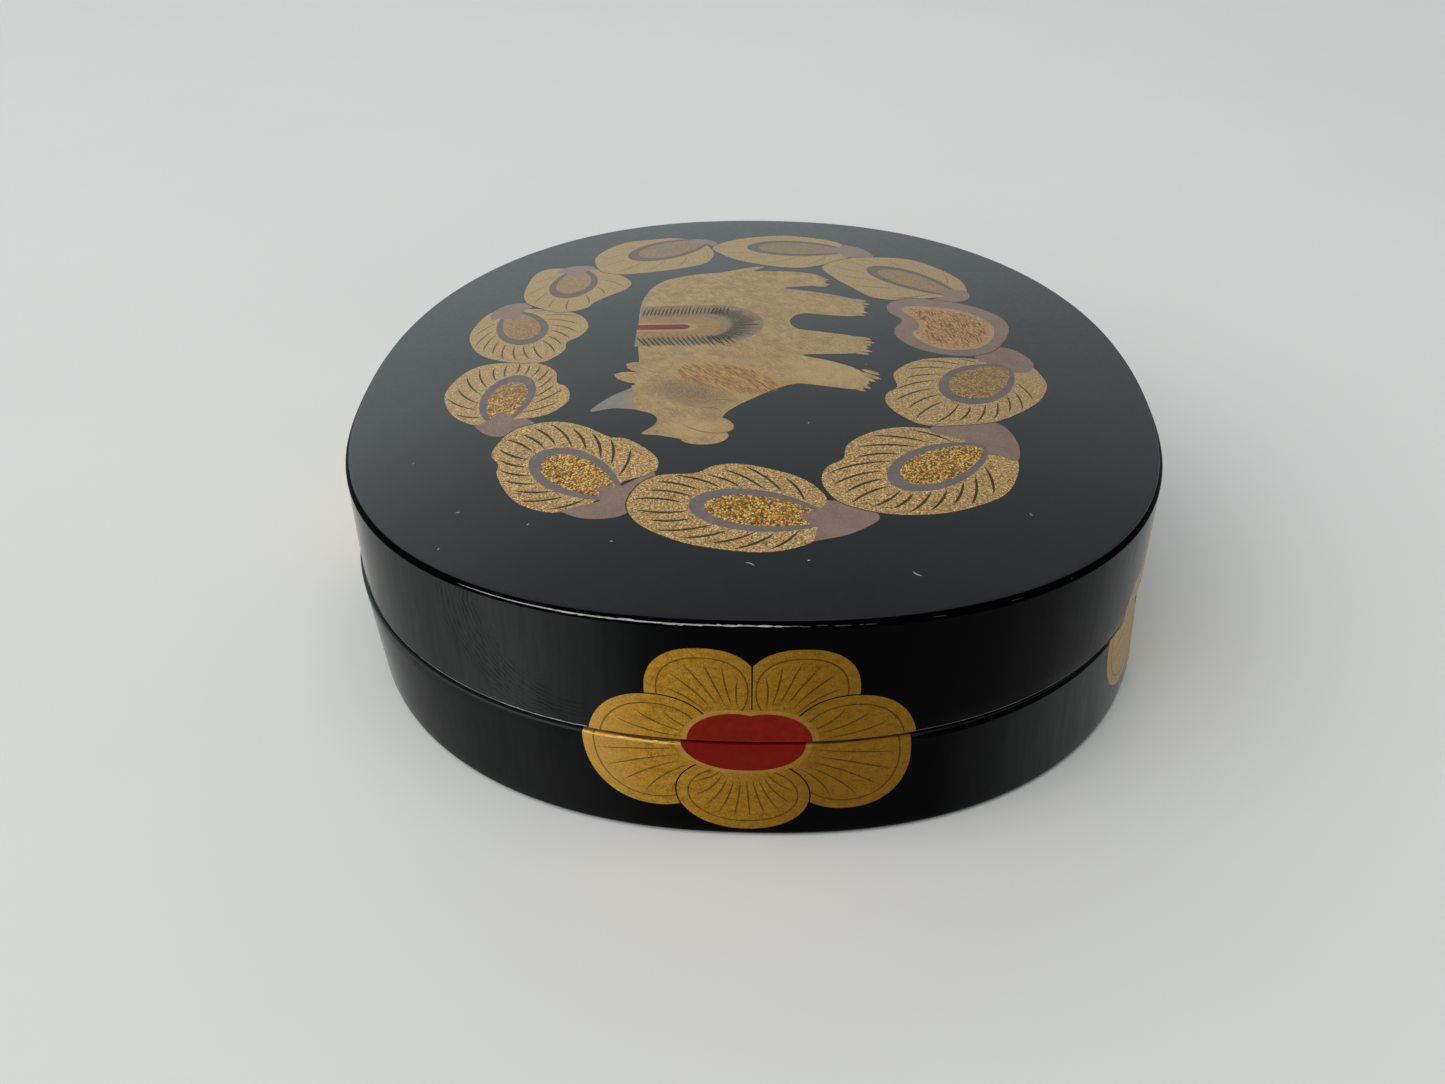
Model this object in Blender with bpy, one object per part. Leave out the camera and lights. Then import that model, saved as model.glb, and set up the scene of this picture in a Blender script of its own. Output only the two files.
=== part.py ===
"""Incense box: a low rounded square box with a domed lid that lifts off.

Metres, Z up, standing on the underside with the origin under the middle.
Two pieces: the box with its raised lip, and the lid that drops over the lip.
"""
import math

import bmesh
import bpy

# Plan of the pieces, a square with well rounded corners
half_width = 0.0400
plan_power = 2.30
plan_steps = 96

# Heights above the table
rim_height = 0.01102
ridge_height = 0.02286
dome_rise = 0.0043

# The ridge stands this much higher at front and back, and lower at the sides
side_fall = 0.0011

# Box
floor_thickness = 0.0030
lip_thickness = 0.0013
lip_rise = 0.0034
foot_taper = 0.00010
foot_round = 0.0007
foot_lean = 0.0008
rim_round = 0.00020
inside_round = 0.0028

# Lid
lid_wall = 0.0022
lid_top_thickness = 0.0026
ridge_bevel = 0.00040
lid_edge_round = 0.00020
lid_inside_round = 0.0024
dome_rings = 9
inner_dome_rings = 4

# Fits
rest_gap = 0.0003
lip_clearance = 0.00035
lid_play = 0.0003

# Steps in the small rounds
foot_round_steps = 3
inside_round_steps = 4

box_wall = lid_wall + lip_clearance + lip_thickness
lid_lower_edge = rim_height + rest_gap


def clear_scene():
    for old in list(bpy.data.objects):
        bpy.data.objects.remove(old, do_unlink=True)


def plan_points(inset):
    """Points round the plan, moved in square to the wall by the inset."""
    points = []
    for step in range(plan_steps):
        angle = 2 * math.pi * step / plan_steps
        c, s = math.cos(angle), math.sin(angle)
        reach = (abs(c) ** plan_power + abs(s) ** plan_power) ** (-1 / plan_power)
        x, y = half_width * reach * c, half_width * reach * s
        nx = math.copysign(abs(x) ** (plan_power - 1), x)
        ny = math.copysign(abs(y) ** (plan_power - 1), y)
        length = math.hypot(nx, ny)
        points.append((x - inset * nx / length, y - inset * ny / length))
    return points


def quarter_round(inset, height, radius, first, last, steps):
    """Insets and heights along a round whose centre is at inset and height."""
    path = []
    for step in range(steps + 1):
        angle = math.radians(first + (last - first) * step / steps)
        path.append((inset - radius * math.cos(angle), height + radius * math.sin(angle)))
    return path


def lean_at(height):
    """How far the box stands to the right of its rim at a height."""
    return foot_lean * max(0.0, 1 - height / rim_height)


def fall_at(x, y):
    """How much the crown is raised at a place by its fall to the sides."""
    return side_fall * (y * y - x * x) / half_width**2


def ring(mesh, inset, height, scale, follow, shift):
    """One loop of points, raised with the crown as far as follow says."""
    loop = []
    for x, y in plan_points(inset):
        x, y = scale * x, scale * y
        place = (shift + lean_at(height) + x, y, height + follow * fall_at(x, y))
        loop.append(mesh.verts.new(place))
    return loop


def bridge(mesh, lower, upper):
    count = len(lower)
    for i in range(count):
        j = (i + 1) % count
        mesh.faces.new((lower[i], lower[j], upper[j], upper[i]))


def close(mesh, loop, height, shift):
    middle = mesh.verts.new((shift + lean_at(height), 0.0, height))
    count = len(loop)
    for i in range(count):
        mesh.faces.new((loop[i], loop[(i + 1) % count], middle))


def shell(name, rings, first_height, last_height, shift):
    """A closed piece from rings given as inset, height, scale and follow, in order."""
    mesh = bmesh.new()
    loops = [ring(mesh, *each, shift) for each in rings]
    for lower, upper in zip(loops, loops[1:]):
        bridge(mesh, lower, upper)
    close(mesh, loops[0], first_height, shift)
    close(mesh, loops[-1], last_height, shift)
    bmesh.ops.recalc_face_normals(mesh, faces=mesh.faces)
    data = bpy.data.meshes.new(name)
    mesh.to_mesh(data)
    mesh.free()
    piece = bpy.data.objects.new(name, data)
    bpy.context.scene.collection.objects.link(piece)
    for face in data.polygons:
        face.use_smooth = True
    data.set_sharp_from_angle(angle=math.radians(30))
    return piece


def box_rings():
    foot = quarter_round(
        foot_taper + foot_round, foot_round, foot_round, -90, 0, foot_round_steps
    )
    lip_outside = lid_wall + lip_clearance
    lip_top = rim_height + lip_rise
    outline = list(foot)
    outline += [(0.0, rim_height - rim_round), (rim_round, rim_height)]
    outline += [(lip_outside, rim_height)]
    outline += [(lip_outside, lip_top - rim_round), (lip_outside + rim_round, lip_top)]
    outline += [(box_wall - rim_round, lip_top), (box_wall, lip_top - rim_round)]
    outline += quarter_round(
        box_wall + inside_round,
        floor_thickness + inside_round,
        inside_round,
        0,
        -90,
        inside_round_steps,
    )
    return [(inset, height, 1.0, 0.0) for inset, height in outline]


def dome_height(scale):
    return ridge_height + dome_rise * (1 - scale * scale)


def lid_rings():
    rings = []
    # Outer crown from near the middle to the ridge
    bevel_scale = 1 - ridge_bevel / half_width
    for step in range(1, dome_rings + 1):
        scale = bevel_scale * step / dome_rings
        rings.append((0.0, dome_height(scale), scale, 1.0))
    rings.append((0.0, ridge_height - ridge_bevel, 1.0, 1.0))
    # Outer wall, lower edge and inner wall
    rings.append((0.0, lid_lower_edge + lid_edge_round, 1.0, 0.0))
    rings.append((lid_edge_round, lid_lower_edge, 1.0, 0.0))
    rings.append((lid_wall - lid_edge_round, lid_lower_edge, 1.0, 0.0))
    rings.append((lid_wall, lid_lower_edge + lid_edge_round, 1.0, 0.0))
    ceiling = inner_ceiling(1.0)
    for inset, height in quarter_round(
        lid_wall + lid_inside_round,
        ceiling - lid_inside_round,
        lid_inside_round,
        0,
        80,
        inside_round_steps,
    ):
        rings.append((inset, height, 1.0, 1.0))
    # Inner crown back to the middle
    edge = lid_wall + lid_inside_round
    for step in range(inner_dome_rings, 0, -1):
        scale = step / (inner_dome_rings + 1)
        rings.append((edge, inner_ceiling(scale), scale, 1.0))
    return rings


def inner_ceiling(scale):
    return ridge_height - lid_top_thickness + dome_rise * (1 - scale * scale)


def lacquer(name, colour, roughness):
    material = bpy.data.materials.new(name)
    material.use_nodes = True
    shader = material.node_tree.nodes["Principled BSDF"]
    shader.inputs["Base Color"].default_value = (*colour, 1.0)
    shader.inputs["Roughness"].default_value = roughness
    return material


def main():
    clear_scene()
    black = lacquer("black_lacquer", (0.012, 0.013, 0.014), 0.18)
    box = shell("box", box_rings(), 0.0, floor_thickness, -lid_play / 2)
    lid = shell(
        "lid", lid_rings(), dome_height(0.0), inner_ceiling(0.0), lid_play / 2
    )
    for piece in (box, lid):
        piece.data.materials.append(black)


main()
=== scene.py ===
"""Looks of the incense box: black lacquer with a gold flower wreath, a beast and side rosettes.

Lengths are in millimetres up to the last step of each piece, which goes into metres.
The pictures are flush colour: flat sheets are cut along the drawn outlines, and
Geometry Nodes bend each sheet round the box or raise it to the dome of the lid.
"""
import math
import random
from bisect import bisect_right

import bmesh
import bpy
from mathutils import Matrix, Vector
from mathutils.geometry import delaunay_2d_cdt


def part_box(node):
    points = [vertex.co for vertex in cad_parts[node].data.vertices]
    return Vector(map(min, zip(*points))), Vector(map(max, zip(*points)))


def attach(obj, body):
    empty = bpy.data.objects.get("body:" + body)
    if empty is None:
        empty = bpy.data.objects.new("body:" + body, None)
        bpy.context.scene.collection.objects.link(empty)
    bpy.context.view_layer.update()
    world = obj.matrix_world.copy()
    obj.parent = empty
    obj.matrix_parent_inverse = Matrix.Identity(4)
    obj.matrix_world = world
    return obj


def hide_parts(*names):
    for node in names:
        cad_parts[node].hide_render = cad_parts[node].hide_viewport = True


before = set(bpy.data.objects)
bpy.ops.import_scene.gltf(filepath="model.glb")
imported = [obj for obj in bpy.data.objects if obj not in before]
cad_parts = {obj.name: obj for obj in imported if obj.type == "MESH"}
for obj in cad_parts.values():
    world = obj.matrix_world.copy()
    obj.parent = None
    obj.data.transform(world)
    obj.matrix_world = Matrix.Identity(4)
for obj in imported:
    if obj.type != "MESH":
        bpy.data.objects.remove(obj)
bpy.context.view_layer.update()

MM = 0.001
TAU = 2 * math.pi

# Sizes of the two pieces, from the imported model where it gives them
lid_low, lid_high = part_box("lid")
box_low, box_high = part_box("box")
half_width = (lid_high.x - lid_low.x) / 2 / MM
lid_middle = (lid_high.x + lid_low.x) / 2 / MM
box_middle = box_low.x / MM + half_width
lid_lower_edge = lid_low.z / MM
lid_crown = lid_high.z / MM
lip_top = box_high.z / MM

# The form that both pieces share
plan_power = 2.30
dome_rise = 4.3
side_fall = 1.1
ridge_height = lid_crown - dome_rise
ridge_bevel = 0.40
rest_gap = 0.3
rim_height = lid_lower_edge - rest_gap
edge_round = 0.20

# Walls of the lid and the box
lid_wall = 2.2
lid_top_thickness = 2.6
lid_inside_round = 2.4
lip_inset = 2.55
box_wall = 3.85
inside_round = 2.8
floor_thickness = 3.0
foot_round = 0.7
foot_taper = 0.10
foot_lean = 0.8

# How finely the sheets are cut
columns = 300
wall_row = 1.3
crown_grid = 1.25
plain_grid = 3.0
ribbon_step = 0.8
rim_ring = 0.992
rim_clearance = 1.2
weld = 0.12
crease_angle = 42


# Outlines of the drawing

def turned(points, x, y, heading):
    """Points moved to x, y and turned by the heading in degrees."""
    c = math.cos(math.radians(heading))
    s = math.sin(math.radians(heading))
    return [(x + u * c - v * s, y + u * s + v * c) for u, v in points]


def notch(angle, middle, depth, spread):
    """A sharp dip in an outline, by the angle round it in degrees."""
    away = abs((angle - middle + 180) % 360 - 180)
    return -depth * math.exp(-away / spread)


def oval(front, back, left, right, changes=(), steps=72, power=2.0):
    """An outline of four joined quarter ovals, changed by swells and notches."""
    points = []
    for step in range(steps):
        angle = 360 * step / steps
        c = math.cos(math.radians(angle))
        s = math.sin(math.radians(angle))
        reach = (abs(c) ** power + abs(s) ** power) ** (-1 / power)
        reach *= 1 + sum(change(angle) for change in changes)
        points.append((
            (front if c > 0 else back) * reach * c,
            (left if s > 0 else right) * reach * s,
        ))
    return points


# How far an almond narrows at its front
almond_pinch = 0.32


def almond_point(front, back, half, angle):
    """A point of an oval drawn to a soft point at its front."""
    c, s = math.cos(angle), math.sin(angle)
    pinch = 1 - almond_pinch * ((1 + c) / 2) ** 2
    return (front if c > 0 else back) * c, half * s * pinch


def almond(front, back, half, steps=48):
    return [almond_point(front, back, half, TAU * i / steps) for i in range(steps)]


def smooth_loop(points, steps=5):
    """A closed curve that passes through the points."""
    count = len(points)
    curve = []
    for i in range(count):
        curve += smooth_part([points[(i + k - 1) % count] for k in range(4)], steps)
    return curve


def smooth_path(points, steps=5):
    """An open curve that passes through the points."""
    wide = [points[0], *points, points[-1]]
    curve = []
    for i in range(len(points) - 1):
        curve += smooth_part(wide[i:i + 4], steps)
    return curve + [points[-1]]


def smooth_part(four, steps):
    """The stretch of a smooth curve between the middle two of four points."""
    a, b, c, d = (Vector(p) for p in four)
    part = []
    for step in range(steps):
        t = step / steps
        at = (
            b * 2 + (c - a) * t + (a * 2 - b * 5 + c * 4 - d) * t ** 2
            + (b * 3 - a - c * 3 + d) * t ** 3
        ) / 2
        part.append((at.x, at.y))
    return part


# How soon a stroke gets its full width: the lower, the sooner
stroke_fullness = 0.45


def stroke(start, end, width, bend=0.0, steps=6):
    """The outline of one brush stroke, thin at both ends."""
    start, end = Vector(start), Vector(end)
    along = end - start
    side = Vector((-along.y, along.x))
    left, right = [], []
    for step in range(1, steps):
        t = step / steps
        at = start + along * t + side * bend * 4 * t * (1 - t)
        half = side.normalized() * width / 2 * math.sin(math.pi * t) ** stroke_fullness
        left.append(at + half)
        right.append(at - half)
    loop = [start, *right, end, *reversed(left)]
    return [(p.x, p.y) for p in loop]


# The least cross product of a ray and an edge that aren't taken as parallel
least_cross = 1e-9


def ray_reach(outline, origin, direction):
    """How far a ray from the origin goes before it leaves the outline."""
    far = 0.0
    ox, oy = origin
    dx, dy = direction
    for (ax, ay), (bx, by) in zip(outline, outline[1:] + outline[:1]):
        ex, ey = bx - ax, by - ay
        cross = dx * ey - dy * ex
        if abs(cross) < least_cross:
            continue
        t = ((ax - ox) * ey - (ay - oy) * ex) / cross
        share = ((ax - ox) * dy - (ay - oy) * dx) / cross
        if 0 <= share <= 1 and t > far:
            far = t
    return far


# Wreath on the lid

# What stands out past the core of a flower: its grains, the band round them, the calyx
core_front = 0.9
core_back = 0.2
core_side = 0.06
band_front = 1.35
band_back = 1.55
band_side = 0.88
calyx_front = 0.4
petal_gap = 0.12

# Strokes on the petals: wide on the near flowers and few on the far ones
near_flowers = -12
far_flowers = 15
near_stroke = 0.26
far_stroke = 0.20
many_strokes = 15
few_strokes = 9
stroke_fan = (52, 308)
stroke_starts = (0.02, 0.08)
stroke_ends = (0.80, 0.94, 0.87)
stroke_bend = 0.07
shortest_stroke = 0.8


def wreath_flower(x, y, heading, core, petals, fan, core_turn=0.0):
    """One flower in profile: petals round a core, with its calyx at the front.

    A core with a turn of its own is drawn whole, over the calyx.
    """
    length, half = core
    outline = smooth_loop(petals)
    band = (length + band_front, length + band_back, half + band_side)
    grains = (length + core_front, length + core_back, half + core_side)
    tip = length + calyx_front
    count = many_strokes if y < far_flowers else few_strokes
    width = near_stroke if y < near_flowers else far_stroke
    strokes = petal_strokes(turned(outline, 0, 0, -core_turn), band, tip, count, width)
    ring = [
        (turned(almond(*band), 0, 0, core_turn), "grey_band"),
        (turned(almond(*grains), 0, 0, core_turn), "core_gold"),
    ]
    mouth = [(calyx(tip, fan), "mauve")]
    shapes = [
        (grown(outline, petal_gap), "top_lacquer"),
        (outline, "petal_gold"),
        *[(turned(line, 0, 0, core_turn), finish) for line, finish in strokes],
        *(mouth + ring if core_turn else ring + mouth),
    ]
    return [(turned(points, x, y, heading), finish) for points, finish in shapes]


def grown(points, amount):
    """An outline moved away from its middle by the amount."""
    return [
        (u + amount * u / math.hypot(u, v), v + amount * v / math.hypot(u, v))
        for u, v in points
    ]


def petal_strokes(outline, band, tip, count, width):
    """Strokes round the band, each running away from the tip of the core."""
    shapes = []
    first, last = stroke_fan
    for i in range(count):
        angle = math.radians(first + (last - first) * i / (count - 1))
        at = Vector(almond_point(*band, angle))
        way = at - Vector((tip, 0.0))
        inner = way.length
        way /= inner
        depth = ray_reach(outline, (tip, 0), way) - inner
        if depth < shortest_stroke:
            continue
        near = inner + depth * stroke_starts[i % 2]
        far = inner + depth * stroke_ends[i % 3]
        start = (tip + way.x * near, way.y * near)
        end = (tip + way.x * far, way.y * far)
        bend = -stroke_bend if at.y > 0 else stroke_bend
        shapes.append((stroke(start, end, width, bend), "petal_line"))
    return shapes


def calyx(tip, fan):
    """The mauve patch that spreads from the mouth of a flower and steps into its core."""
    outer = smooth_path([(tip + u, v) for u, v in fan], 4)
    mouth = [
        (0.1, -1.3), (-0.5, -0.95), (-0.9, -0.55), (-1.35, -0.5), (-1.45, 0.3),
        (-0.95, 0.35), (-0.8, 0.75), (0.1, 1.3),
    ]
    return outer + [(tip + u, v) for u, v in mouth]


# The flowers from the left one round to the right, each over the one before: place, heading,
# length and half width of the core, petals, calyx, and for some the turn of the core
wreath_flowers = (
    (-23.7, -7.7, -91, (3.2, 2.05),
     ((-7.7, -1.3), (-7.9, -3.6), (-7.1, -5.3), (-4.8, -6.5), (-2.2, -6.7),
      (1.4, -5.2), (3.8, -2.8), (4.1, -1.1), (4.0, 0.8), (3.6, 4.3), (1.8, 6.1),
      (0.0, 6.2), (-1.5, 5.6), (-2.4, 4.6), (-4.7, 4.1), (-6.8, 2.0)),
     ((0.3, 2.6), (1.5, 3.6), (2.6, 2.3), (3.0, 0.6), (2.3, -1.0), (0.6, -2.4))),
    (-15.2, -21.4, -41, (4.0, 2.15),
     ((-10.4, 1.2), (-9.3, -2.1), (-7.3, -3.0), (-6.0, -4.2), (-2.5, -5.6),
      (0.3, -5.6), (2.7, -4.5), (4.1, -1.9), (4.0, 1.3), (5.2, 4.1), (5.0, 5.2),
      (3.6, 6.2), (0.0, 6.5), (-1.9, 5.7), (-4.7, 5.6), (-7.4, 4.9), (-9.2, 3.5)),
     ((0.7, 4.6), (2.1, 3.4), (2.9, 0.9), (3.1, -0.9), (2.4, -2.4), (0.4, -3.9),
      (-1.9, -4.4))),
    (1.1, -26.8, -8, (4.6, 2.05),
     ((-11.5, -0.4), (-10.6, -2.4), (-8.5, -3.9), (-4.7, -5.1), (0.9, -5.1),
      (4.8, -3.2), (5.6, -0.4), (5.5, 2.4), (4.0, 4.3), (1.8, 5.4), (-2.4, 6.1),
      (-4.9, 5.5), (-6.4, 4.2), (-9.5, 3.5), (-11.0, 2.0)),
     ((0.5, 2.4), (2.6, 2.7), (4.4, 2.0), (5.1, 1.2), (4.6, 0.2), (2.7, -1.6),
      (0.0, -3.0))),
    (17.1, -18.8, 43, (4.3, 2.15),
     ((-10.8, 0.6), (-8.8, -2.3), (-5.2, -4.8), (-1.2, -6.0), (2.0, -6.1),
      (5.0, -4.8), (6.8, -3.2), (6.4, -1.6), (5.8, -0.3), (5.6, 1.9), (4.6, 3.1),
      (1.8, 5.7), (-1.3, 7.0), (-4.7, 7.0), (-6.6, 5.7), (-8.6, 5.7), (-10.3, 4.6),
      (-11.1, 2.6)),
     ((-0.7, 2.4), (-1.7, 4.2), (0.8, 4.4), (4.0, 3.0), (5.2, 1.4), (4.9, -0.4),
      (3.6, -2.3), (1.9, -3.4), (1.2, -2.2)), -4),
    (22.3, -3.4, 59, (3.9, 2.4),
     ((-11.2, 0.5), (-9.1, -1.9), (-5.4, -4.5), (0.3, -5.8), (4.5, -5.3),
      (6.5, -3.8), (7.4, -2.1), (5.8, -0.2), (4.5, 1.8), (2.3, 4.4), (-0.8, 6.6),
      (-4.6, 7.1), (-6.8, 5.6), (-8.6, 5.8), (-10.2, 5.0), (-11.2, 3.0)),
     ((-0.4, 1.8), (0.8, 3.0), (3.4, 2.4), (4.9, 0.8), (4.8, -0.9), (3.9, -2.3),
      (1.8, -2.7), (0.5, -1.9)), -8),
    (-24.8, 8.2, 114, (3.3, 1.95),
     ((-9.6, 0.5), (-9.3, -1.2), (-8.5, -2.4), (-7.0, -3.1), (-6.4, -4.7),
      (-5.0, -6.0), (-2.2, -6.3), (0.5, -5.1), (3.6, -2.3), (6.2, 1.3), (4.0, 4.0),
      (0.9, 5.4), (-3.6, 5.3), (-7.3, 3.3)),
     ((0.3, 2.2), (1.9, 1.9), (3.1, 0.4), (2.9, -1.1), (1.6, -2.4), (0.4, -2.4))),
    (-20.4, 18.7, 92, (2.9, 2.05),
     ((-8.2, -0.5), (-7.7, -2.1), (-6.4, -2.9), (-5.0, -4.4), (-3.6, -6.1),
      (-1.6, -6.5), (1.0, -5.0), (3.2, -2.7), (5.1, 1.5), (5.5, 3.9), (3.6, 5.1),
      (-1.2, 5.5), (-4.2, 4.8), (-6.1, 3.2), (-7.8, 1.4)),
     ((0.3, 2.4), (1.4, 2.1), (2.1, 0.7), (1.8, -0.9), (0.6, -2.3))),
    (-10.2, 27.9, 35, (3.8, 2.6),
     ((-9.7, -0.5), (-9.3, -2.6), (-7.9, -4.3), (-3.9, -6.4), (0.1, -7.1),
      (2.2, -5.7), (3.4, -3.9), (4.1, 0.0), (2.6, 3.3), (0.4, 4.6), (-2.7, 6.0),
      (-6.0, 5.1), (-8.3, 3.2)),
     ((0.2, 1.2), (1.1, -0.2), (1.1, -2.0), (0.1, -3.4))),
    (4.7, 27.9, -2, (4.4, 2.2),
     ((-9.9, -0.1), (-8.7, -2.7), (-6.0, -5.2), (-0.8, -6.9), (2.6, -5.6),
      (6.1, -1.8), (5.5, 1.5), (3.8, 3.6), (-1.7, 4.9), (-7.0, 3.1)),
     ((0.4, 2.4), (2.2, 1.6), (3.5, 0.1), (3.7, -1.8), (0.5, -2.3))),
    (17.4, 19.5, -31, (4.1, 2.05),
     ((-9.7, -3.3), (-7.0, -5.4), (-4.1, -6.7), (-0.9, -7.6), (1.9, -5.9),
      (3.7, -3.1), (5.4, -0.3), (5.7, 2.1), (2.9, 5.1), (-2.9, 6.2), (-6.8, 3.5),
      (-9.0, 0.7)),
     ((1.0, 2.1), (2.0, 1.2), (2.2, -0.6), (1.2, -2.4), (-0.5, -3.5))),
)
mauve_place = (20.6, 8.2)


def wreath():
    shapes = []
    for flower in wreath_flowers:
        shapes += wreath_flower(*flower)
    return shapes + mauve_flower(*mauve_place)


# The black gap round the mauve petals, and the bean inside its rim, as shares of each
mauve_gap = 1.02
bean_share = (0.90, 0.91)
bean_drop = 0.05


def mauve_flower(x, y):
    """The flower at the right, with mauve petals and one bean in the middle."""
    petals = smooth_loop([
        (6.2, 0.8), (5.9, 4.0), (3.2, 5.9), (-0.6, 6.3), (-4.2, 5.8), (-6.3, 3.9),
        (-6.5, 1.8), (-5.3, 0.4), (-5.3, -0.6), (-5.9, -1.8), (-6.1, -3.8), (-4.4, -6.0),
        (-1.6, -6.8), (1.6, -6.2), (4.2, -4.0),
    ], 4)
    wider = [(u * mauve_gap, v * mauve_gap) for u, v in petals]
    rim = smooth_loop([
        (4.6, 0.6), (4.0, 2.9), (1.6, 4.2), (-1.6, 4.3), (-4.4, 3.6), (-5.0, 2.4),
        (-3.6, 0.4), (-3.5, -1.4), (-4.3, -3.0), (-3.0, -5.0), (-0.6, -5.6), (2.2, -4.4),
        (4.0, -2.0),
    ], 4)
    bean = [(bean_share[0] * u, bean_share[1] * v - bean_drop) for u, v in rim]
    shapes = [
        (wider, "top_lacquer"),
        (petals, "mauve"),
        (rim, "tan_rim"),
        (bean, "bean_gold"),
        *[(hair, "bean_hair") for hair in bean_hairs(bean)],
    ]
    return [(turned(points, x, y, 0), finish) for points, finish in shapes]


def bean_hairs(bean):
    """Short hairs on the bean, all well inside its outline and lying one way."""
    tries, half, width, inside = 260, 0.5, 0.10, 1.15
    chance = random.Random(41)
    hairs = []
    for i in range(tries):
        u, v = chance.uniform(-4.6, 4.2), chance.uniform(-5.0, 3.9)
        if ray_reach(bean, (0, 0), (u, v)) < inside:
            continue
        hair = stroke((-half, 0), (half, 0), width, 0.06, 4)
        hairs.append(turned(hair, u, v, chance.uniform(-84, -64)))
    return hairs


# Beast in the middle of the lid, its back to the left and its feet to the right

def beast():
    """A plain horned beast of no given kind, with a cloth on its back."""
    shapes = [(beast_tail(), "beast_gold")]
    shapes += [(hair, "beast_gold") for hair in hoof_hairs()]
    shapes.append((beast_horn(), "horn_grey"))
    shapes += beast_ears()
    shapes += [(beast_body(), "beast_gold"), (beast_head(), "beast_gold")]
    return shapes + beast_mouth() + beast_mane() + beast_face() + back_cloth()


def beast_body():
    """Back, rump, four short legs with slits between them, and the chest."""
    return smooth_loop([
        (-11.9, 12.8), (-10.4, 16.7), (-7.0, 18.6), (-2.4, 19.4), (2.6, 19.8),
        (6.2, 19.3), (7.6, 17.6), (6.6, 15.9), (3.2, 14.8), (6.6, 13.9), (10.4, 12.6),
        (11.5, 10.6), (10.9, 8.4), (8.0, 8.0), (5.2, 8.2), (4.0, 7.2), (3.7, 5.8),
        (4.6, 4.4), (7.4, 3.9), (10.4, 3.3), (11.4, 1.6), (10.6, -0.1), (7.4, -0.8),
        (4.9, -1.3), (7.6, -2.2), (10.3, -3.6), (11.3, -5.6), (10.2, -7.4),
        (7.0, -7.2), (4.2, -7.0), (1.6, -8.6), (-1.6, -11.0), (-6.0, -10.6),
        (-9.6, -7.6), (-11.0, -3.6), (-11.7, 2.0), (-12.1, 8.0),
    ], 4)


def beast_head():
    """Nape, brow, a pointed nose and the jaw, the nose towards the front of the box."""
    return smooth_loop([
        (-10.4, -4.6), (-11.2, -7.8), (-10.9, -11.2), (-9.3, -12.3), (-8.6, -13.3),
        (-8.9, -14.4), (-9.9, -15.6), (-8.6, -15.9), (-7.2, -16.3), (-5.4, -16.8),
        (-4.2, -16.2), (-3.0, -14.6), (-2.3, -12.4), (-0.5, -10.2), (1.0, -7.4),
        (-3.0, -4.0),
    ], 4)


def beast_mouth():
    """Two rounded lips, one over the other, with a thin line round the upper one."""
    lower = turned(oval(2.0, 2.4, 1.15, 1.2, steps=24), -3.9, -16.3, 6)
    line = turned(oval(2.35, 2.7, 1.45, 1.45, steps=24), -3.7, -14.25, -18)
    upper = turned(oval(2.25, 2.8, 1.35, 1.35, steps=24), -3.7, -14.2, -18)
    return [(lower, "beast_gold"), (line, "mane_brown"), (upper, "beast_gold")]


def hoof_hairs():
    """Short pointed hairs at the ends of the legs, each leg by its place and heading."""
    legs = [(6.9, 17.0, 1.1, 0), (10.9, 10.5, 1.7, -8), (10.9, 1.5, 1.5, -10),
            (10.9, -5.6, 1.7, -28)]
    count, root, width, reaches = 6, -1.2, 0.62, (0.8, 1.25, 1.025)
    hairs = []
    for x, y, half, heading in legs:
        for i in range(count):
            across = half * (1 - 2 * i / (count - 1))
            hair = stroke((root, across), (reaches[i % 3], across * 1.1), width, 0.0, 5)
            hairs.append(turned(hair, x, y, heading))
    return hairs


def beast_tail():
    return smooth_loop([
        (-4.8, 18.6), (-2.6, 19.9), (-0.6, 20.9), (0.9, 21.1), (-0.1, 20.1), (-0.7, 19.0),
        (-2.0, 18.2),
    ], 4)


def beast_horn():
    """A bowed horn, its tip to the left."""
    return smooth_loop([
        (-9.8, -6.9), (-12.0, -7.9), (-13.8, -9.4), (-15.1, -11.4), (-13.0, -11.1),
        (-11.2, -11.4), (-9.6, -11.6),
    ], 4)


def beast_ears():
    """Three broad pointed strokes behind the brow."""
    leaves = [
        ((-8.2, -6.4), (-13.5, -4.7), 2.1, 0.04),
        ((-8.4, -4.4), (-12.5, -2.8), 2.0, 0.04),
        ((-8.0, -8.2), (-11.6, -7.2), 1.6, 0.05),
    ]
    return [
        (stroke(a, b, width, bend, 8), "beast_gold") for a, b, width, bend in leaves
    ]


def beast_mane():
    """Brown hairs over the shoulder and down to the chest, all lying one way."""
    tries, long, wide, width = 520, 5.0, 2.3, 0.075
    x, y, tilt = -2.4, -6.1, -20
    chance = random.Random(17)
    shapes = []
    for i in range(tries):
        u = chance.uniform(-long, long)
        v = chance.uniform(-wide, wide)
        if (u / long) ** 2 + (v / wide) ** 2 > 1:
            continue
        at = turned([(u, v)], x, y, tilt)[0]
        half = chance.uniform(0.35, 0.65)
        hair = stroke((-half, 0), (half, 0), width, chance.uniform(-0.06, 0.06), 4)
        shapes.append((turned(hair, *at, chance.uniform(-56, -44)), "mane_brown"))
    return shapes


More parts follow.
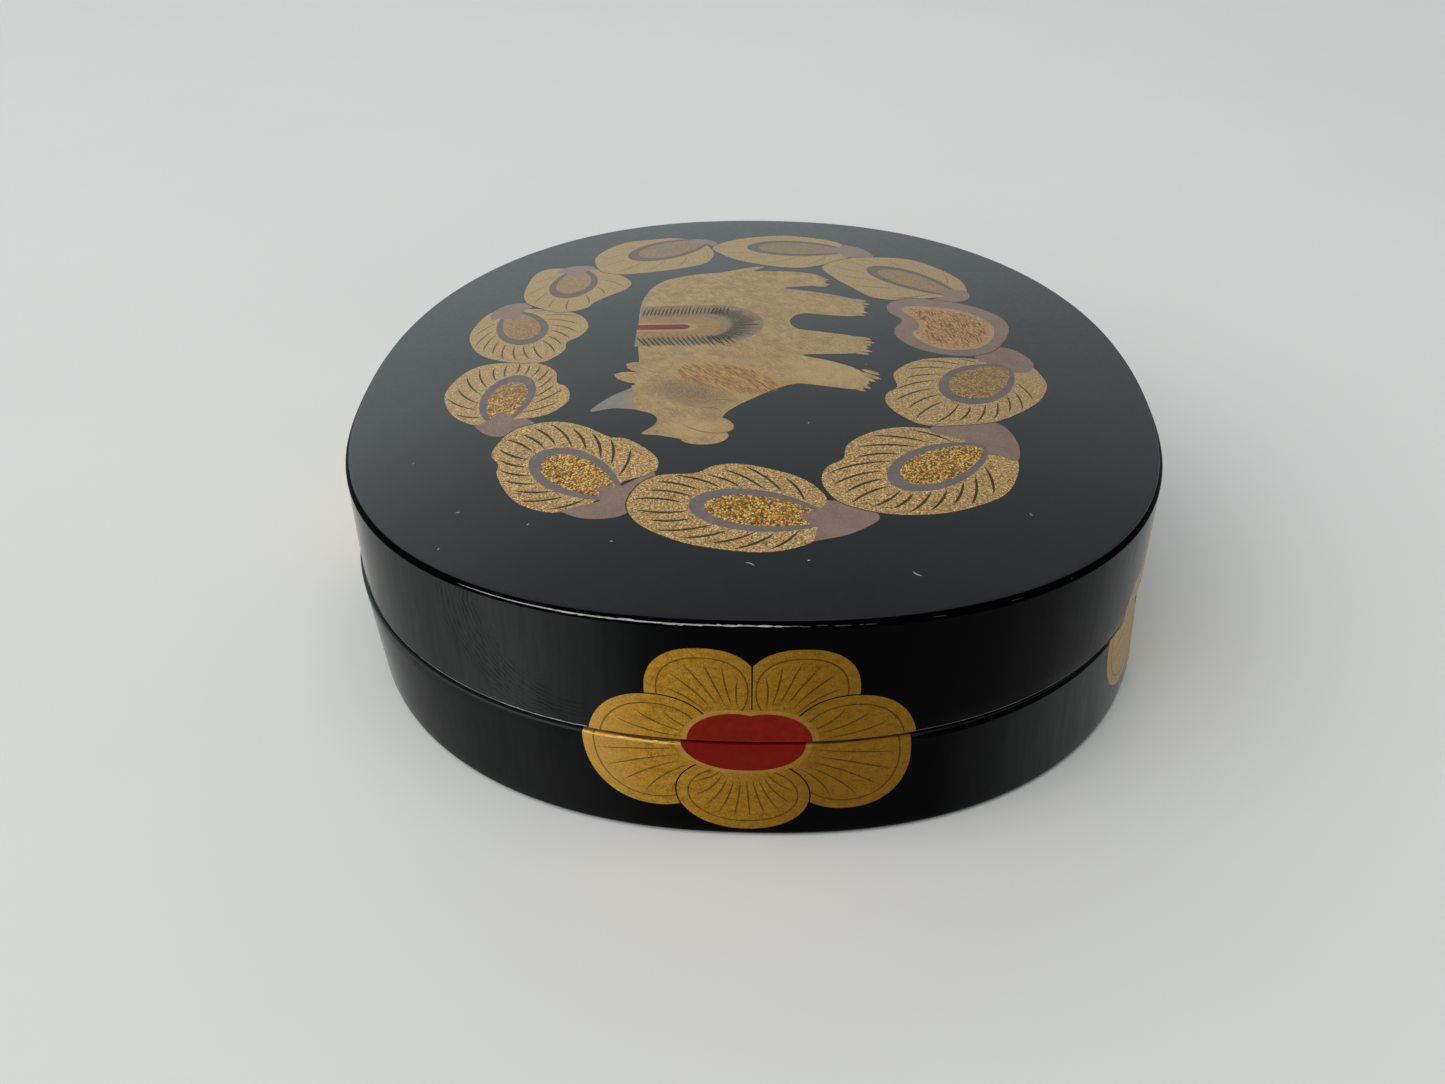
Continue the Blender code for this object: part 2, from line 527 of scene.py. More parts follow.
def beast_face():
    """A closed eye, a nostril and a few hairs on the jaw."""
    lines = [
        ((-8.3, -11.6), (-6.9, -12.4), 0.14, 0.22),
        ((-8.7, -15.2), (-8.3, -15.4), 0.16, 0.10),
        ((-4.9, -11.6), (-2.9, -11.9), 0.10, 0.14),
        ((-3.9, -10.2), (-1.2, -10.6), 0.09, 0.10),
        ((-8.6, -6.4), (-10.4, -6.2), 0.10, 0.08),
        ((-8.2, -4.8), (-10.2, -4.4), 0.10, 0.08),
    ]
    return [(stroke(a, b, width, bend), "mane_brown") for a, b, width, bend in lines]


# The back edge of the cloth, and where its fringe starts
cloth_back = -12.0
fringe_first = cloth_back + 0.3


def back_cloth():
    """A long rounded cloth from the back to the belly, with a fringe round it."""
    bars = [
        (13.0, 4.6, 5.4, 0, "cloth_grey"),
        (8.6, 2.4, 4.9, -1, "cloth_orange"),
        (6.2, 1.0, 5.1, -4, "cloth_pale"),
        (5.4, 0.55, 5.1, -4, "cloth_red"),
    ]
    shapes = [
        (turned(tongue_outline(length, half), cloth_back, y, heading), finish)
        for length, half, y, heading, finish in bars
    ]
    return shapes + [(hair, "fringe_line") for hair in fringe()]


def fringe():
    """Fine strokes out from the cloth: short at its sides, long round its end."""
    chance = random.Random(29)
    hairs = fringe_side(chance, 23, 0.40, (0.0, 7.5), (0.2, 7.7), (1.5, 2.2), 0.15, 0.02)
    hairs += fringe_side(
        chance, 19, 0.50, (-0.2, 2.9), (1.0, 2.5), (-1.7, -2.4), 0.19, -0.03
    )
    return hairs + fringe_end(chance)


def fringe_side(chance, count, step, near, far, reach, width, bend):
    """Strokes along one side of the cloth, each from near to a little past far."""
    hairs = []
    for i in range(count):
        x = fringe_first + step * i
        end = (x + far[0], far[1] + chance.uniform(*reach))
        hairs.append(stroke((x + near[0], near[1]), end, width, bend, 4))
    return hairs


def fringe_end(chance):
    """Strokes that fan out round the end of the cloth."""
    count, half_fan, width, bend = 41, 84, 0.17, 0.03
    roots = (-5.0, 5.1, 2.4, 2.5)
    ends = (-4.6, 5.4, 5.4, 4.5)
    hairs = []
    for i in range(count):
        angle = math.radians(-half_fan + 2 * half_fan * i / (count - 1))
        start = on_oval(*roots, angle)
        end = on_oval(*ends, angle, chance.uniform(0.86, 1.0))
        hairs.append(stroke(start, end, width, bend if angle < 0 else -bend, 5))
    return hairs


def on_oval(x, y, wide, high, angle, share=1.0):
    """A point on an oval round x, y, or at a share of the way out to it."""
    return x + wide * share * math.cos(angle), y + high * share * math.sin(angle)


def tongue_outline(length, half, steps=14):
    """A bar that is straight at the back of the beast and round at its other end."""
    points = [(0.0, -half)]
    for step in range(steps + 1):
        angle = -math.pi / 2 + math.pi * step / steps
        points.append((length - half * 1.2 * (1 - math.cos(angle)), half * math.sin(angle)))
    points.append((0.0, half))
    return points


# Dust and fine marks on the lid

def lid_marks():
    """Short hairs and scratches on the lacquer, by place, heading and length."""
    width, bend = 0.11, 0.12
    marks = [
        (5.4, -13.8, 75, 0.35), (0.4, -33.4, -25, 0.9), (5.2, -32.8, 20, 0.3),
        (-25.2, -25.4, 10, 0.5), (-18.6, -27.9, 30, 0.3), (-11.2, -30.6, 5, 0.3),
        (-31.0, -16.8, 80, 0.3), (14.6, 6.0, 20, 0.3), (14.0, -33.6, 150, 0.9),
        (-26.0, -30.0, 60, 0.3), (24.5, -24.5, 140, 0.4),
    ]
    shapes = []
    for x, y, heading, length in marks:
        hair = stroke((-length / 2, 0), (length / 2, 0), width, bend, 4)
        shapes.append((turned(hair, x, y, heading), "dust"))
    return shapes


# Rosettes on the wall

# Turn of each round the plan, the shift of its two halves along the wall, and its drop
rosettes_round = (
    (-90, 0.75, 0.5, 0.0), (-17, 1.7, -0.2, 0.9), (73, 0.5, 0.5, 0.0), (163, 0.5, 0.5, 0.0),
)
rosette_rise = 0.15

# Where the outlines of a petal lie inside its edge, from the outer one in
petal_rings = (
    (-0.13, "side_lacquer"), (0.0, "side_gold"), (0.92, "gold_shade"), (1.06, "side_gold"),
)
vein_inset = 1.35
vein_count = 11
vein_fan = 112
vein_width = 0.16
vein_bend = 0.24
vein_source = 0.28
vein_start = 0.34
vein_stagger = 1.4
shortest_vein = 1.0


def rosette():
    """Five petals round a red bean, in millimetres from the middle of the rosette.

    A petal has its place, half width, half height, roundness and heading.
    """
    upper = [(-4.1, 5.6, 4.75, 4.5, 2.3, 112), (4.1, 5.6, 4.75, 4.5, 2.3, 68)]
    parting = [(-0.07, 8.7), (-0.05, 3.7), (0.05, 3.7), (0.07, 8.7)]
    others = [
        (-8.3, -1.5, 5.7, 6.4, 2.2, 188),
        (8.35, -1.5, 5.7, 6.5, 2.2, -8),
        (-0.6, -6.1, 5.7, 4.25, 2.1, -90),
    ]
    shapes = []
    for petal in upper:
        shapes += rosette_petal(*petal)
    shapes.append((parting, "side_lacquer"))
    for petal in others:
        shapes += rosette_petal(*petal)
    return shapes + red_bean()


def rosette_petal(x, y, wide, high, power, heading):
    """A round petal with a line inside its edge and curved veins."""
    rings = [
        (petal_ring(x, y, wide - inset, high - inset, power), finish)
        for inset, finish in petal_rings
    ]
    inner = petal_ring(x, y, wide - vein_inset, high - vein_inset, power)
    return rings + [(vein, "gold_shade") for vein in petal_veins(x, y, heading, inner)]


def petal_ring(x, y, wide, high, power):
    """An outline of a petal. The upper two petals stop at the middle between them."""
    points = turned(oval(wide, wide, high, high, power=power), x, y, 0)
    if y < 0:
        return points
    side = -1 if x < 0 else 1
    return [(side * max(side * px, 0.0), py) for px, py in points]


def petal_veins(x, y, heading, inner):
    """Strokes that spread from a point between the petal and the rosette's middle."""
    source = Vector((x, y)) * vein_source
    veins = []
    for i in range(vein_count):
        spread = (i - (vein_count - 1) / 2) / (vein_count - 1)
        angle = math.radians(heading + vein_fan * spread)
        way = (math.cos(angle), math.sin(angle))
        far = ray_reach(inner, (source.x, source.y), way)
        near = vein_start * far + vein_stagger * abs(spread)
        if far - near < shortest_vein:
            continue
        start = (source.x + way[0] * near, source.y + way[1] * near)
        end = (source.x + way[0] * far, source.y + way[1] * far)
        veins.append(stroke(start, end, vein_width, -vein_bend * spread))
    return veins


def red_bean():
    """The red middle with its gold rim, both dipped at the top."""
    middle, roundness = (-0.1, 0.05), 2.2
    dip = [lambda angle: notch(angle, 90, 0.16, 20)]
    rim = oval(5.75, 5.85, 4.0, 3.7, dip, power=roundness)
    bean = oval(5.2, 5.35, 3.55, 3.3, dip, power=roundness)
    return [
        (turned(rim, *middle, 0), "gold_rim"),
        (turned(bean, *middle, 0), "red_lacquer"),
    ]


def clipped(points, level, keep_above):
    """The part of an outline above or below a level."""
    kept = []
    sign = 1 if keep_above else -1
    for (ax, ay), (bx, by) in zip(points, points[1:] + points[:1]):
        a, b = sign * (ay - level), sign * (by - level)
        if a >= 0:
            kept.append((ax, ay))
        if a * b < 0:
            t = a / (a - b)
            kept.append((ax + (bx - ax) * t, level))
    return kept


# Wear, painted highlights and painted shade along the ridge and the seam, by distance along the
# wall from its front

# Broken marks of rubbing and painted highlight: their lengths, their shares of the full width,
# how far they stray from their line and slant, and where the next one starts as a share of a
# mark's length
mark_lengths = (0.4, 1.6)
mark_widths = (0.55, 1.1)
mark_spread = 0.05
mark_slant = 0.02
mark_steps = (0.55, 0.85)


def broken_marks(start, end, share, width, seed):
    """Short broken marks along a line, covering a share of it: rubbed spots, and pieces of
    painted highlight.
    """
    chance = random.Random(seed)
    shapes = []
    at = start
    while at < end:
        length = chance.uniform(*mark_lengths)
        high = width * chance.uniform(*mark_widths)
        level = chance.uniform(-mark_spread, mark_spread)
        stop = (min(at + length, end), level + chance.uniform(-mark_slant, mark_slant))
        shapes.append(stroke((at, level), stop, high, 0, 5))
        at += length * chance.uniform(*mark_steps) / share
    return shapes


def ribbon(start, end, level, width):
    """A long strip along the wall, in steps short enough to bend with it."""
    steps = max(2, round((end - start) / ribbon_step))
    along = [start + (end - start) * i / steps for i in range(steps + 1)]
    lower = [(x, level - width / 2) for x in along[1:-1]]
    upper = [(x, level + width / 2) for x in along[1:-1]]
    return [(start, level), *lower, (end, level), *reversed(upper)]


def ridge_wear_and_highlight():
    """Where the ridge is pale at the left of its front: partly rubbed, and partly a painted
    highlight on the bevel.
    """
    line = stroke((-24.8, 0.0), (5.0, 0.0), 0.10, 0.0, 24)
    return [line, *broken_marks(start=-16.0, end=3.2, share=0.75, width=0.14, seed=3)]


def ridge_specks():
    """Small bare spots on the ridge, to the right of the pale line."""
    return [
        *broken_marks(start=3.6, end=9.5, share=0.45, width=0.08, seed=4),
        *broken_marks(start=9.5, end=29.0, share=0.16, width=0.05, seed=5),
    ]


def seam_hairline():
    """A thin grey line along the lower edge of the lid, at the right of its front: a painted
    highlight.
    """
    return [ribbon(start=11.0, end=38.0, level=0.0, width=0.06)]


def lid_edge_highlight():
    """A painted highlight along the lower edge of the lid, at the left of its front."""
    sheet_end = -distance_at(-90)
    return [
        ribbon(start=sheet_end, end=-13.4, level=0.0, width=0.11),
        ribbon(start=-43.0, end=sheet_end - 0.001, level=0.0, width=0.10),
    ]


def edge_highlight_specks():
    """Brighter broken pieces of painted highlight on that edge, next to the left petal."""
    return broken_marks(start=-21.6, end=-13.2, share=0.95, width=0.15, seed=11)


def seam_shade():
    """Deep shade on the rim of the box, under the edge of the lid at the right."""
    return [ribbon(start=15.0, end=39.0, level=-0.26, width=0.66)]


def seam_bare():
    """Bare brown on the rim of the box, across the rosette at the right."""
    return [ribbon(start=37.2, end=46.0, level=-0.10, width=0.34)]


def seam_glint():
    """Bright gold on the rim of the box at the left petal: a painted highlight, where the rim is
    also rubbed.
    """
    line = stroke((-13.5, 0.0), (-4.8, 0.0), 0.17, 0.0, 12)
    return [line, *broken_marks(start=-13.4, end=-6.0, share=0.9, width=0.22, seed=13)]


# Flat sheets, cut along the drawing

def area(points):
    return sum(
        ax * by - bx * ay for (ax, ay), (bx, by) in zip(points, points[1:] + points[:1])
    ) / 2


# What the cut keeps, and how near two points are taken as one
inside_only = 1
nearest_points = 1e-5


def cut_sheet(points, fences, border, shapes, base):
    """Triangles of a sheet, each with the finish of the last shape that covers it."""
    flat = [Vector(p) for p in points]
    outlines = [border]
    for outline, finish in shapes:
        if area(outline) < 0:
            outline = outline[::-1]
        outlines.append(range(len(flat), len(flat) + len(outline)))
        flat += [Vector(p) for p in outline]
    faces = [list(outline) for outline in outlines]
    made = delaunay_2d_cdt(flat, fences, faces, inside_only, nearest_points)
    finishes = [base] + [finish for outline, finish in shapes]
    chosen = [finishes[max(over)] for over in made[5]]
    return made[0], made[2], chosen


def crown_sheet(ring, shapes, base, spacing):
    """A flat disc inside the ring, with the shapes drawn on it."""
    inner = [(x * rim_ring, y * rim_ring) for x, y in ring]
    count = len(ring)
    points = list(ring) + inner
    fences = [(count + i, count + (i + 1) % count) for i in range(count)]
    steps = int(half_width / spacing)
    limit = plan_share(*ring[0]) - rim_clearance * spacing / half_width
    for i in range(-steps, steps + 1):
        for j in range(-steps, steps + 1):
            x, y = i * spacing, j * spacing + (i % 2) * spacing / 2
            if plan_share(x, y) < limit:
                points.append((x, y))
    return cut_sheet(points, fences, range(count), shapes, base)


def wall_sheet(profile, shapes, base):
    """A flat strip round the plan, as wide as the profile is long."""
    rows = profile_rows(profile)
    stops = [perimeter * i / columns for i in range(columns + 1)]
    points = [(s, v) for v in rows for s in stops]
    wide = columns + 1
    fences = [
        (row * wide + i, row * wide + i + 1)
        for row in range(len(rows))
        for i in range(columns)
    ]
    top = (len(rows) - 1) * wide
    border = [*range(wide), *range(2 * wide - 1, top, wide)]
    border += [*range(top + columns, top - 1, -1), *range(top - wide, 0, -wide)]
    return cut_sheet(points, fences, border, shapes, base)


def profile_rows(profile):
    """Distances along a profile: its corners, and rows between those far apart."""
    rows = [0.0]
    for (ax, ay), (bx, by) in zip(profile, profile[1:]):
        length = math.hypot(bx - ax, by - ay)
        parts = max(1, round(length / wall_row))
        start = rows[-1]
        rows += [start + length * (k + 1) / parts for k in range(parts)]
    return rows


# Slack for rounding in a distance
distance_slack = 1e-6


def along_profile(profile, distance):
    """Inset and height at a distance along a profile."""
    for (ax, ay), (bx, by) in zip(profile, profile[1:]):
        length = math.hypot(bx - ax, by - ay)
        if distance <= length + distance_slack:
            t = min(1.0, distance / length)
            return ax + (bx - ax) * t, ay + (by - ay) * t
        distance -= length
    return profile[-1]


# Plan of the pieces

def plan_share(x, y):
    """How far out a point lies in the plan: 0 at the middle, 1 at the wall."""
    sides = (abs(x) / half_width) ** plan_power + (abs(y) / half_width) ** plan_power
    return sides ** (1 / plan_power)


def plan_point(turn, inset):
    c, s = math.cos(turn), math.sin(turn)
    reach = half_width / (abs(c) ** plan_power + abs(s) ** plan_power) ** (1 / plan_power)
    nx = math.copysign(abs(c) ** (plan_power - 1), c)
    ny = math.copysign(abs(s) ** (plan_power - 1), s)
    length = math.hypot(nx, ny)
    return reach * c - inset * nx / length, reach * s - inset * ny / length


sheet_start = math.radians(-135)
arc_steps = 7200


def arc_table():
    """Turns round the plan, and the distance along the wall to each."""
    turns = [sheet_start + TAU * i / arc_steps for i in range(arc_steps + 1)]
    lengths = [0.0]
    last = plan_point(turns[0], 0)
    for turn in turns[1:]:
        at = plan_point(turn, 0)
        lengths.append(lengths[-1] + math.dist(at, last))
        last = at
    return turns, lengths


arc_turns, arc_lengths = arc_table()
perimeter = arc_lengths[-1]


def turn_at(distance):
    i = min(max(bisect_right(arc_lengths, distance) - 1, 0), arc_steps - 1)
    share = (distance - arc_lengths[i]) / (arc_lengths[i + 1] - arc_lengths[i])
    return arc_turns[i] + (arc_turns[i + 1] - arc_turns[i]) * share


def distance_at(degrees):
    share = (math.radians(degrees) - sheet_start) / TAU
    return arc_lengths[round(share * arc_steps)]


def plan_ring(inset):
    return [plan_point(turn_at(perimeter * i / columns), inset) for i in range(columns)]


def fall_at(turn):
    """How much the ridge is raised at a turn by its fall to the sides."""
    x, y = plan_point(turn, 0)
    return side_fall * (y * y - x * x) / half_width**2


# Profiles, as inset from the wall and height

def rounded(inset, height, radius, first, last, steps=4):
    """A round whose centre is at inset and height, from one angle to another."""
    path = []
    for step in range(steps + 1):
        angle = math.radians(first + (last - first) * step / steps)
        path.append((inset - radius * math.cos(angle), height + radius * math.sin(angle)))
    return path


bevel_foot = ridge_height - ridge_bevel
bevel_top = ridge_height + dome_rise * (1 - (1 - ridge_bevel / half_width) ** 2)
wall_foot = lid_lower_edge + edge_round
ceiling_height = ridge_height - lid_top_thickness


# The soft round over the ridge: shares of the bevel inwards, and millimetres from its ends
ridge_upper = ((1.0, 0.0), (0.85, -0.03), (0.55, -0.17))
ridge_lower = ((0.16, 0.12), (0.075, 0.04), (0.0, 0.0), (0.0, -0.12))


def lid_profile():
    """From the ridge down the wall, round the lower edge and up the inside."""
    path = [(ridge_bevel * share, bevel_top + up) for share, up in ridge_upper]
    path += [(ridge_bevel * share, bevel_foot + up) for share, up in ridge_lower]
    path += rounded(edge_round, wall_foot, edge_round, 0, -90)
    path += rounded(lid_wall - edge_round, wall_foot, edge_round, -90, -180)
    path += rounded(lid_wall + lid_inside_round, ceiling_height - lid_inside_round,
                    lid_inside_round, 0, 80, 6)
    return path


def lid_follow(inset, height):
    """How far a place on the lid's wall follows the ridge: 0 at the seam, 1 on top."""
    outside = inset < lid_wall / 2
    top = bevel_foot if outside else ceiling_height - lid_inside_round
    return min(1.0, max(0.0, (height - wall_foot) / (top - wall_foot)))


def box_follow(inset, height):
    """The box's wall doesn't follow the ridge."""
    return 0.0


def box_profile():
    """From the foot up the wall, over the rim and the lip, and down the inside."""
    path = rounded(foot_taper + foot_round, foot_round, foot_round, -90, 0, 6)
    path += rounded(edge_round, rim_height - edge_round, edge_round, 0, 90)
    path += [(lip_inset, rim_height), (lip_inset, lip_top - edge_round)]
    path += rounded(lip_inset + edge_round, lip_top - edge_round, edge_round, 30, 90, 3)
    path += rounded(box_wall - edge_round, lip_top - edge_round, edge_round, 90, 180, 3)
    path += rounded(
        box_wall + inside_round, floor_thickness + inside_round, inside_round, 0, -90, 6
    )
    return path


def distance_to(profile, corner):
    """Distance along a profile to one of its corners."""
    return sum(math.dist(a, b) for a, b in zip(profile[:corner], profile[1:corner + 1]))


def corner_at(profile, inset, height):
    """Number of the profile's corner that lies nearest the inset and height."""
    return min(range(len(profile)), key=lambda i: math.dist(profile[i], (inset, height)))


# Where the finishes change along a profile

def bands(limits):
    """Plain bands round the strip: each from one distance to another, with a finish."""
    return [
        ([(0.0, a), (perimeter, a), (perimeter, b), (0.0, b)], finish)
        for a, b, finish in limits
    ]


def round_wall(shapes, level, finish):
    """Shapes given by distance from the front, put on a strip at a level."""
    placed = []
    front = distance_at(-90)
    for outline in shapes:
        turn = perimeter if outline[0][0] + front < 0 else 0.0
        placed.append(([
            (min(perimeter, max(0.0, x + front + turn)), level + y)
            for x, y in outline
        ], finish))
    return placed


# How far the rosettes reach round the edges at the seam, and the least area of a piece
past_edge = 0.35
smallest_piece = 1e-3


def wall_rosettes(level, on_lid):
    """Upper halves of the rosettes down the lid's strip, or lower ones up the box's."""
    shapes = []
    cut, up = (-past_edge, -1) if on_lid else (past_edge, 1)
    for turn, lid_shift, box_shift, drop in rosettes_round:
        at = distance_at(turn) + (lid_shift if on_lid else box_shift)
        for outline, finish in rosette():
            lifted = [(x, y + rosette_rise - drop) for x, y in outline]
            kept = clipped(lifted, cut, on_lid)
            if len(kept) < 3 or abs(area(kept)) < smallest_piece:
                continue
            placed = []
            for x, y in kept:
                raised = fall_at(turn_at(at + x)) if on_lid else 0.0
                y /= 1 + raised / (bevel_foot - wall_foot)
                placed.append((at + x, level + up * y))
            shapes.append((placed, finish))
    return shapes


# Geometry Nodes

def add_node(tree, kind, inputs=None, **settings):
    """A node with its settings, and its inputs given as sockets or as values."""
    made = tree.nodes.new(kind)
    for key, value in settings.items():
        setattr(made, key, value)
    for key, value in (inputs or {}).items():
        if isinstance(value, bpy.types.NodeSocket):
            tree.links.new(value, made.inputs[key])
        else:
            made.inputs[key].default_value = value
    return made


def maths(tree, operation, first, second=0.0):
    node = add_node(tree, "ShaderNodeMath", {0: first, 1: second}, operation=operation)
    return node.outputs[0]


def plus(tree, first, second):
    return maths(tree, "ADD", first, second)


def minus(tree, first, second):
    return maths(tree, "SUBTRACT", first, second)


def times(tree, first, second):
    return maths(tree, "MULTIPLY", first, second)


def over(tree, first, second):
    return maths(tree, "DIVIDE", first, second)


def power_of(tree, value, power):
    """The size of a value, without its sign, to a power."""
    return maths(tree, "POWER", maths(tree, "ABSOLUTE", value), power)


def new_tree(name, sizes):
    """A Geometry Nodes tree whose inputs are a mesh and the named sizes."""
    tree = bpy.data.node_groups.new(name, "GeometryNodeTree")
    tree.is_modifier = True
    face = tree.interface
    face.new_socket("Geometry", in_out="INPUT", socket_type="NodeSocketGeometry")
    for size in sizes:
        face.new_socket(size, in_out="INPUT", socket_type="NodeSocketFloat")
    face.new_socket("Geometry", in_out="OUTPUT", socket_type="NodeSocketGeometry")
    return tree, tree.nodes.new("NodeGroupInput").outputs


def place_parts(tree):
    """The three parts of each point's place."""
    place = add_node(tree, "GeometryNodeInputPosition").outputs[0]
    return add_node(tree, "ShaderNodeSeparateXYZ", {0: place}).outputs


def joined_parts(tree, x, y, z):
    return add_node(tree, "ShaderNodeCombineXYZ", {0: x, 1: y, 2: z}).outputs[0]


def named_value(tree, name, kind):
    """A value that the sheet carries, by its name."""
    node = add_node(
        tree, "GeometryNodeInputNamedAttribute", {"Name": name}, data_type=kind
    )
    return node.outputs["Attribute"]


def finish_tree(tree, geometry, place):
    """Moves the points, then gives each finish its material."""
    geometry = add_node(
        tree, "GeometryNodeSetPosition", {"Geometry": geometry, "Position": place}
    ).outputs[0]
    geometry = add_node(
        tree, "GeometryNodeRealizeInstances", {"Geometry": geometry}
    ).outputs[0]
    number = named_value(tree, "finish", "INT")
    for index, name in enumerate(finish_names):
        chosen = add_node(
            tree, "FunctionNodeCompare", {2: number, 3: index},
            data_type="INT", operation="EQUAL",
        )
        geometry = add_node(tree, "GeometryNodeSetMaterial", {
            "Geometry": geometry,
            "Selection": chosen.outputs[0],
            "Material": materials[name],
        }).outputs[0]
    add_node(tree, "NodeGroupOutput", {0: geometry})


def side_drop(tree, x, y, given):
    """Height added by the fall of the crown from front and back to the sides."""
    apart = minus(tree, times(tree, y, y), times(tree, x, x))
    width = given["Half Width"]
    share = over(tree, apart, times(tree, width, width))
    return times(tree, share, given["Side Fall"])


def plan_reach(tree, ways, given):
    """How far the wall is from the middle, by the cosine and sine of the turn."""
    power = given["Plan Power"]
    both = plus(tree, *[power_of(tree, way, power) for way in ways])
    root = maths(tree, "POWER", both, over(tree, -1.0, power))
    return times(tree, root, given["Half Width"])


def out_of_wall(tree, ways, given):
    """The way straight out of the wall, as its parts across and deep."""
    steep = minus(tree, given["Plan Power"], 1.0)
    parts = [
        times(tree, power_of(tree, way, steep), maths(tree, "SIGN", way)) for way in ways
    ]
    normal = add_node(
        tree, "ShaderNodeVectorMath", {0: joined_parts(tree, *parts, 0.0)},
        operation="NORMALIZE",
    ).outputs[0]
    return add_node(tree, "ShaderNodeSeparateXYZ", {0: normal}).outputs[:2]


def bend_tree():
    """Bends a sheet of turn, inset and height round the plan, with its fall and lean."""
    tree, given = new_tree("bend_round_plan", [
        "Half Width", "Plan Power", "Middle", "Side Fall", "Foot Lean", "Rim Height"
    ])
    turn, inset, height = place_parts(tree)
    ways = [maths(tree, "COSINE", turn), maths(tree, "SINE", turn)]
    reach = plan_reach(tree, ways, given)
    x, y = [
        minus(tree, times(tree, reach, way), times(tree, inset, out))
        for way, out in zip(ways, out_of_wall(tree, ways, given))
    ]
    drop = times(tree, side_drop(tree, x, y, given), named_value(tree, "follow", "FLOAT"))
    down = minus(tree, 1.0, over(tree, height, given["Rim Height"]))
    lean = times(tree, maths(tree, "MAXIMUM", down, 0.0), given["Foot Lean"])
    shift = plus(tree, lean, given["Middle"])
    place = joined_parts(tree, plus(tree, x, shift), y, plus(tree, height, drop))
    finish_tree(tree, given["Geometry"], place)
    return tree


def dome_tree():
    """Raises a flat sheet to a dome that falls to its edge height at the wall."""
    tree, given = new_tree("raise_to_dome", [
        "Half Width", "Plan Power", "Edge Height", "Rise", "Middle", "Side Fall"
    ])
    x, y, flat = place_parts(tree)
    power = given["Plan Power"]
    sides = [power_of(tree, over(tree, side, given["Half Width"]), power) for side in (x, y)]
    square = maths(tree, "POWER", plus(tree, *sides), over(tree, 2.0, power))
    height = times(tree, minus(tree, 1.0, square), given["Rise"])
    height = plus(tree, height, given["Edge Height"])
    height = plus(tree, height, side_drop(tree, x, y, given))
    place = joined_parts(tree, plus(tree, x, given["Middle"]), y, height)
    finish_tree(tree, given["Geometry"], place)
    return tree


def shaped(name, sheet, tree, sizes, place):
    """A flat sheet as a mesh, shaped by a tree and made plain again."""
    flat, faces, finishes = sheet
    placed = [place(p) for p in flat]
    mesh = bpy.data.meshes.new(name)
    mesh.from_pydata([spot for spot, follow in placed], [], [list(f) for f in faces])
    follows = mesh.attributes.new("follow", "FLOAT", "POINT")
    follows.data.foreach_set("value", [follow for spot, follow in placed])
    numbers = mesh.attributes.new("finish", "INT", "FACE")
    numbers.data.foreach_set("value", [finish_names.index(f) for f in finishes])
    piece = bpy.data.objects.new(name, mesh)
    bpy.context.scene.collection.objects.link(piece)
    modifier = piece.modifiers.new(tree.name, "NODES")
    modifier.node_group = tree
    for item in tree.interface.items_tree:
        if item.in_out == "INPUT" and item.name in sizes:
            modifier[item.identifier] = float(sizes[item.name])
    ready = piece.evaluated_get(bpy.context.evaluated_depsgraph_get())
    made = bpy.data.meshes.new_from_object(ready)
    bpy.data.objects.remove(piece, do_unlink=True)
    return made


def joined(name, meshes):
    """One closed piece from several meshes, joined along their open edges."""
    used = [finish for finish in finish_names
            if any(materials[finish].name in m.materials for m in meshes)]
    shell = bmesh.new()
    for mesh in meshes:
        order = [used.index(m.name) if m else 0 for m in mesh.materials]
        numbers = [order[face.material_index] for face in mesh.polygons]
        mesh.polygons.foreach_set("material_index", numbers)
        shell.from_mesh(mesh)
        bpy.data.meshes.remove(mesh)
    rims = [v for v in shell.verts if v.is_boundary]
    bmesh.ops.remove_doubles(shell, verts=rims, dist=weld * MM)
    bmesh.ops.recalc_face_normals(shell, faces=shell.faces)
    data = bpy.data.meshes.new(name)
    shell.to_mesh(data)
    shell.free()
    for spare in ("finish", "follow"):
        data.attributes.remove(data.attributes[spare])
    for finish in used:
        data.materials.append(materials[finish])
    for face in data.polygons:
        face.use_smooth = True
    data.set_sharp_from_angle(angle=math.radians(crease_angle))
    piece = bpy.data.objects.new(name, data)
    bpy.context.scene.collection.objects.link(piece)
    return piece


# Materials

# Every finish, in the order in which the sheets number them
finish_names = [
    "top_lacquer", "side_lacquer", "ridge_black", "seam_edge", "inside_lacquer",
    "under_lacquer", "wear_and_highlight_line", "painted_highlight_line", "edge_line", "bare_edge", "glint_gold",
    "petal_gold", "core_gold", "grey_band", "mauve", "petal_line", "fringe_line",
    "tan_rim", "bean_gold", "bean_hair", "beast_gold", "horn_grey", "mane_brown",
    "cloth_grey", "cloth_orange", "cloth_pale", "cloth_red", "dust", "side_gold",
    "gold_shade", "gold_rim", "red_lacquer",
]


# Dots in a pattern: the full middle as a share of their size, and how sharply they are chosen
dot_core = 0.6
dot_choice = 0.01


def fill_ramp(node, stops):
    """Fills a ramp with colours: each stop is a place and a colour."""
    band = node.color_ramp
    while len(band.elements) < len(stops):
        band.elements.new(1.0)
    for element, (at, colour) in zip(band.elements, stops):
        element.position = at
        element.color = (*colour, 1.0)
    return node.outputs["Color"]


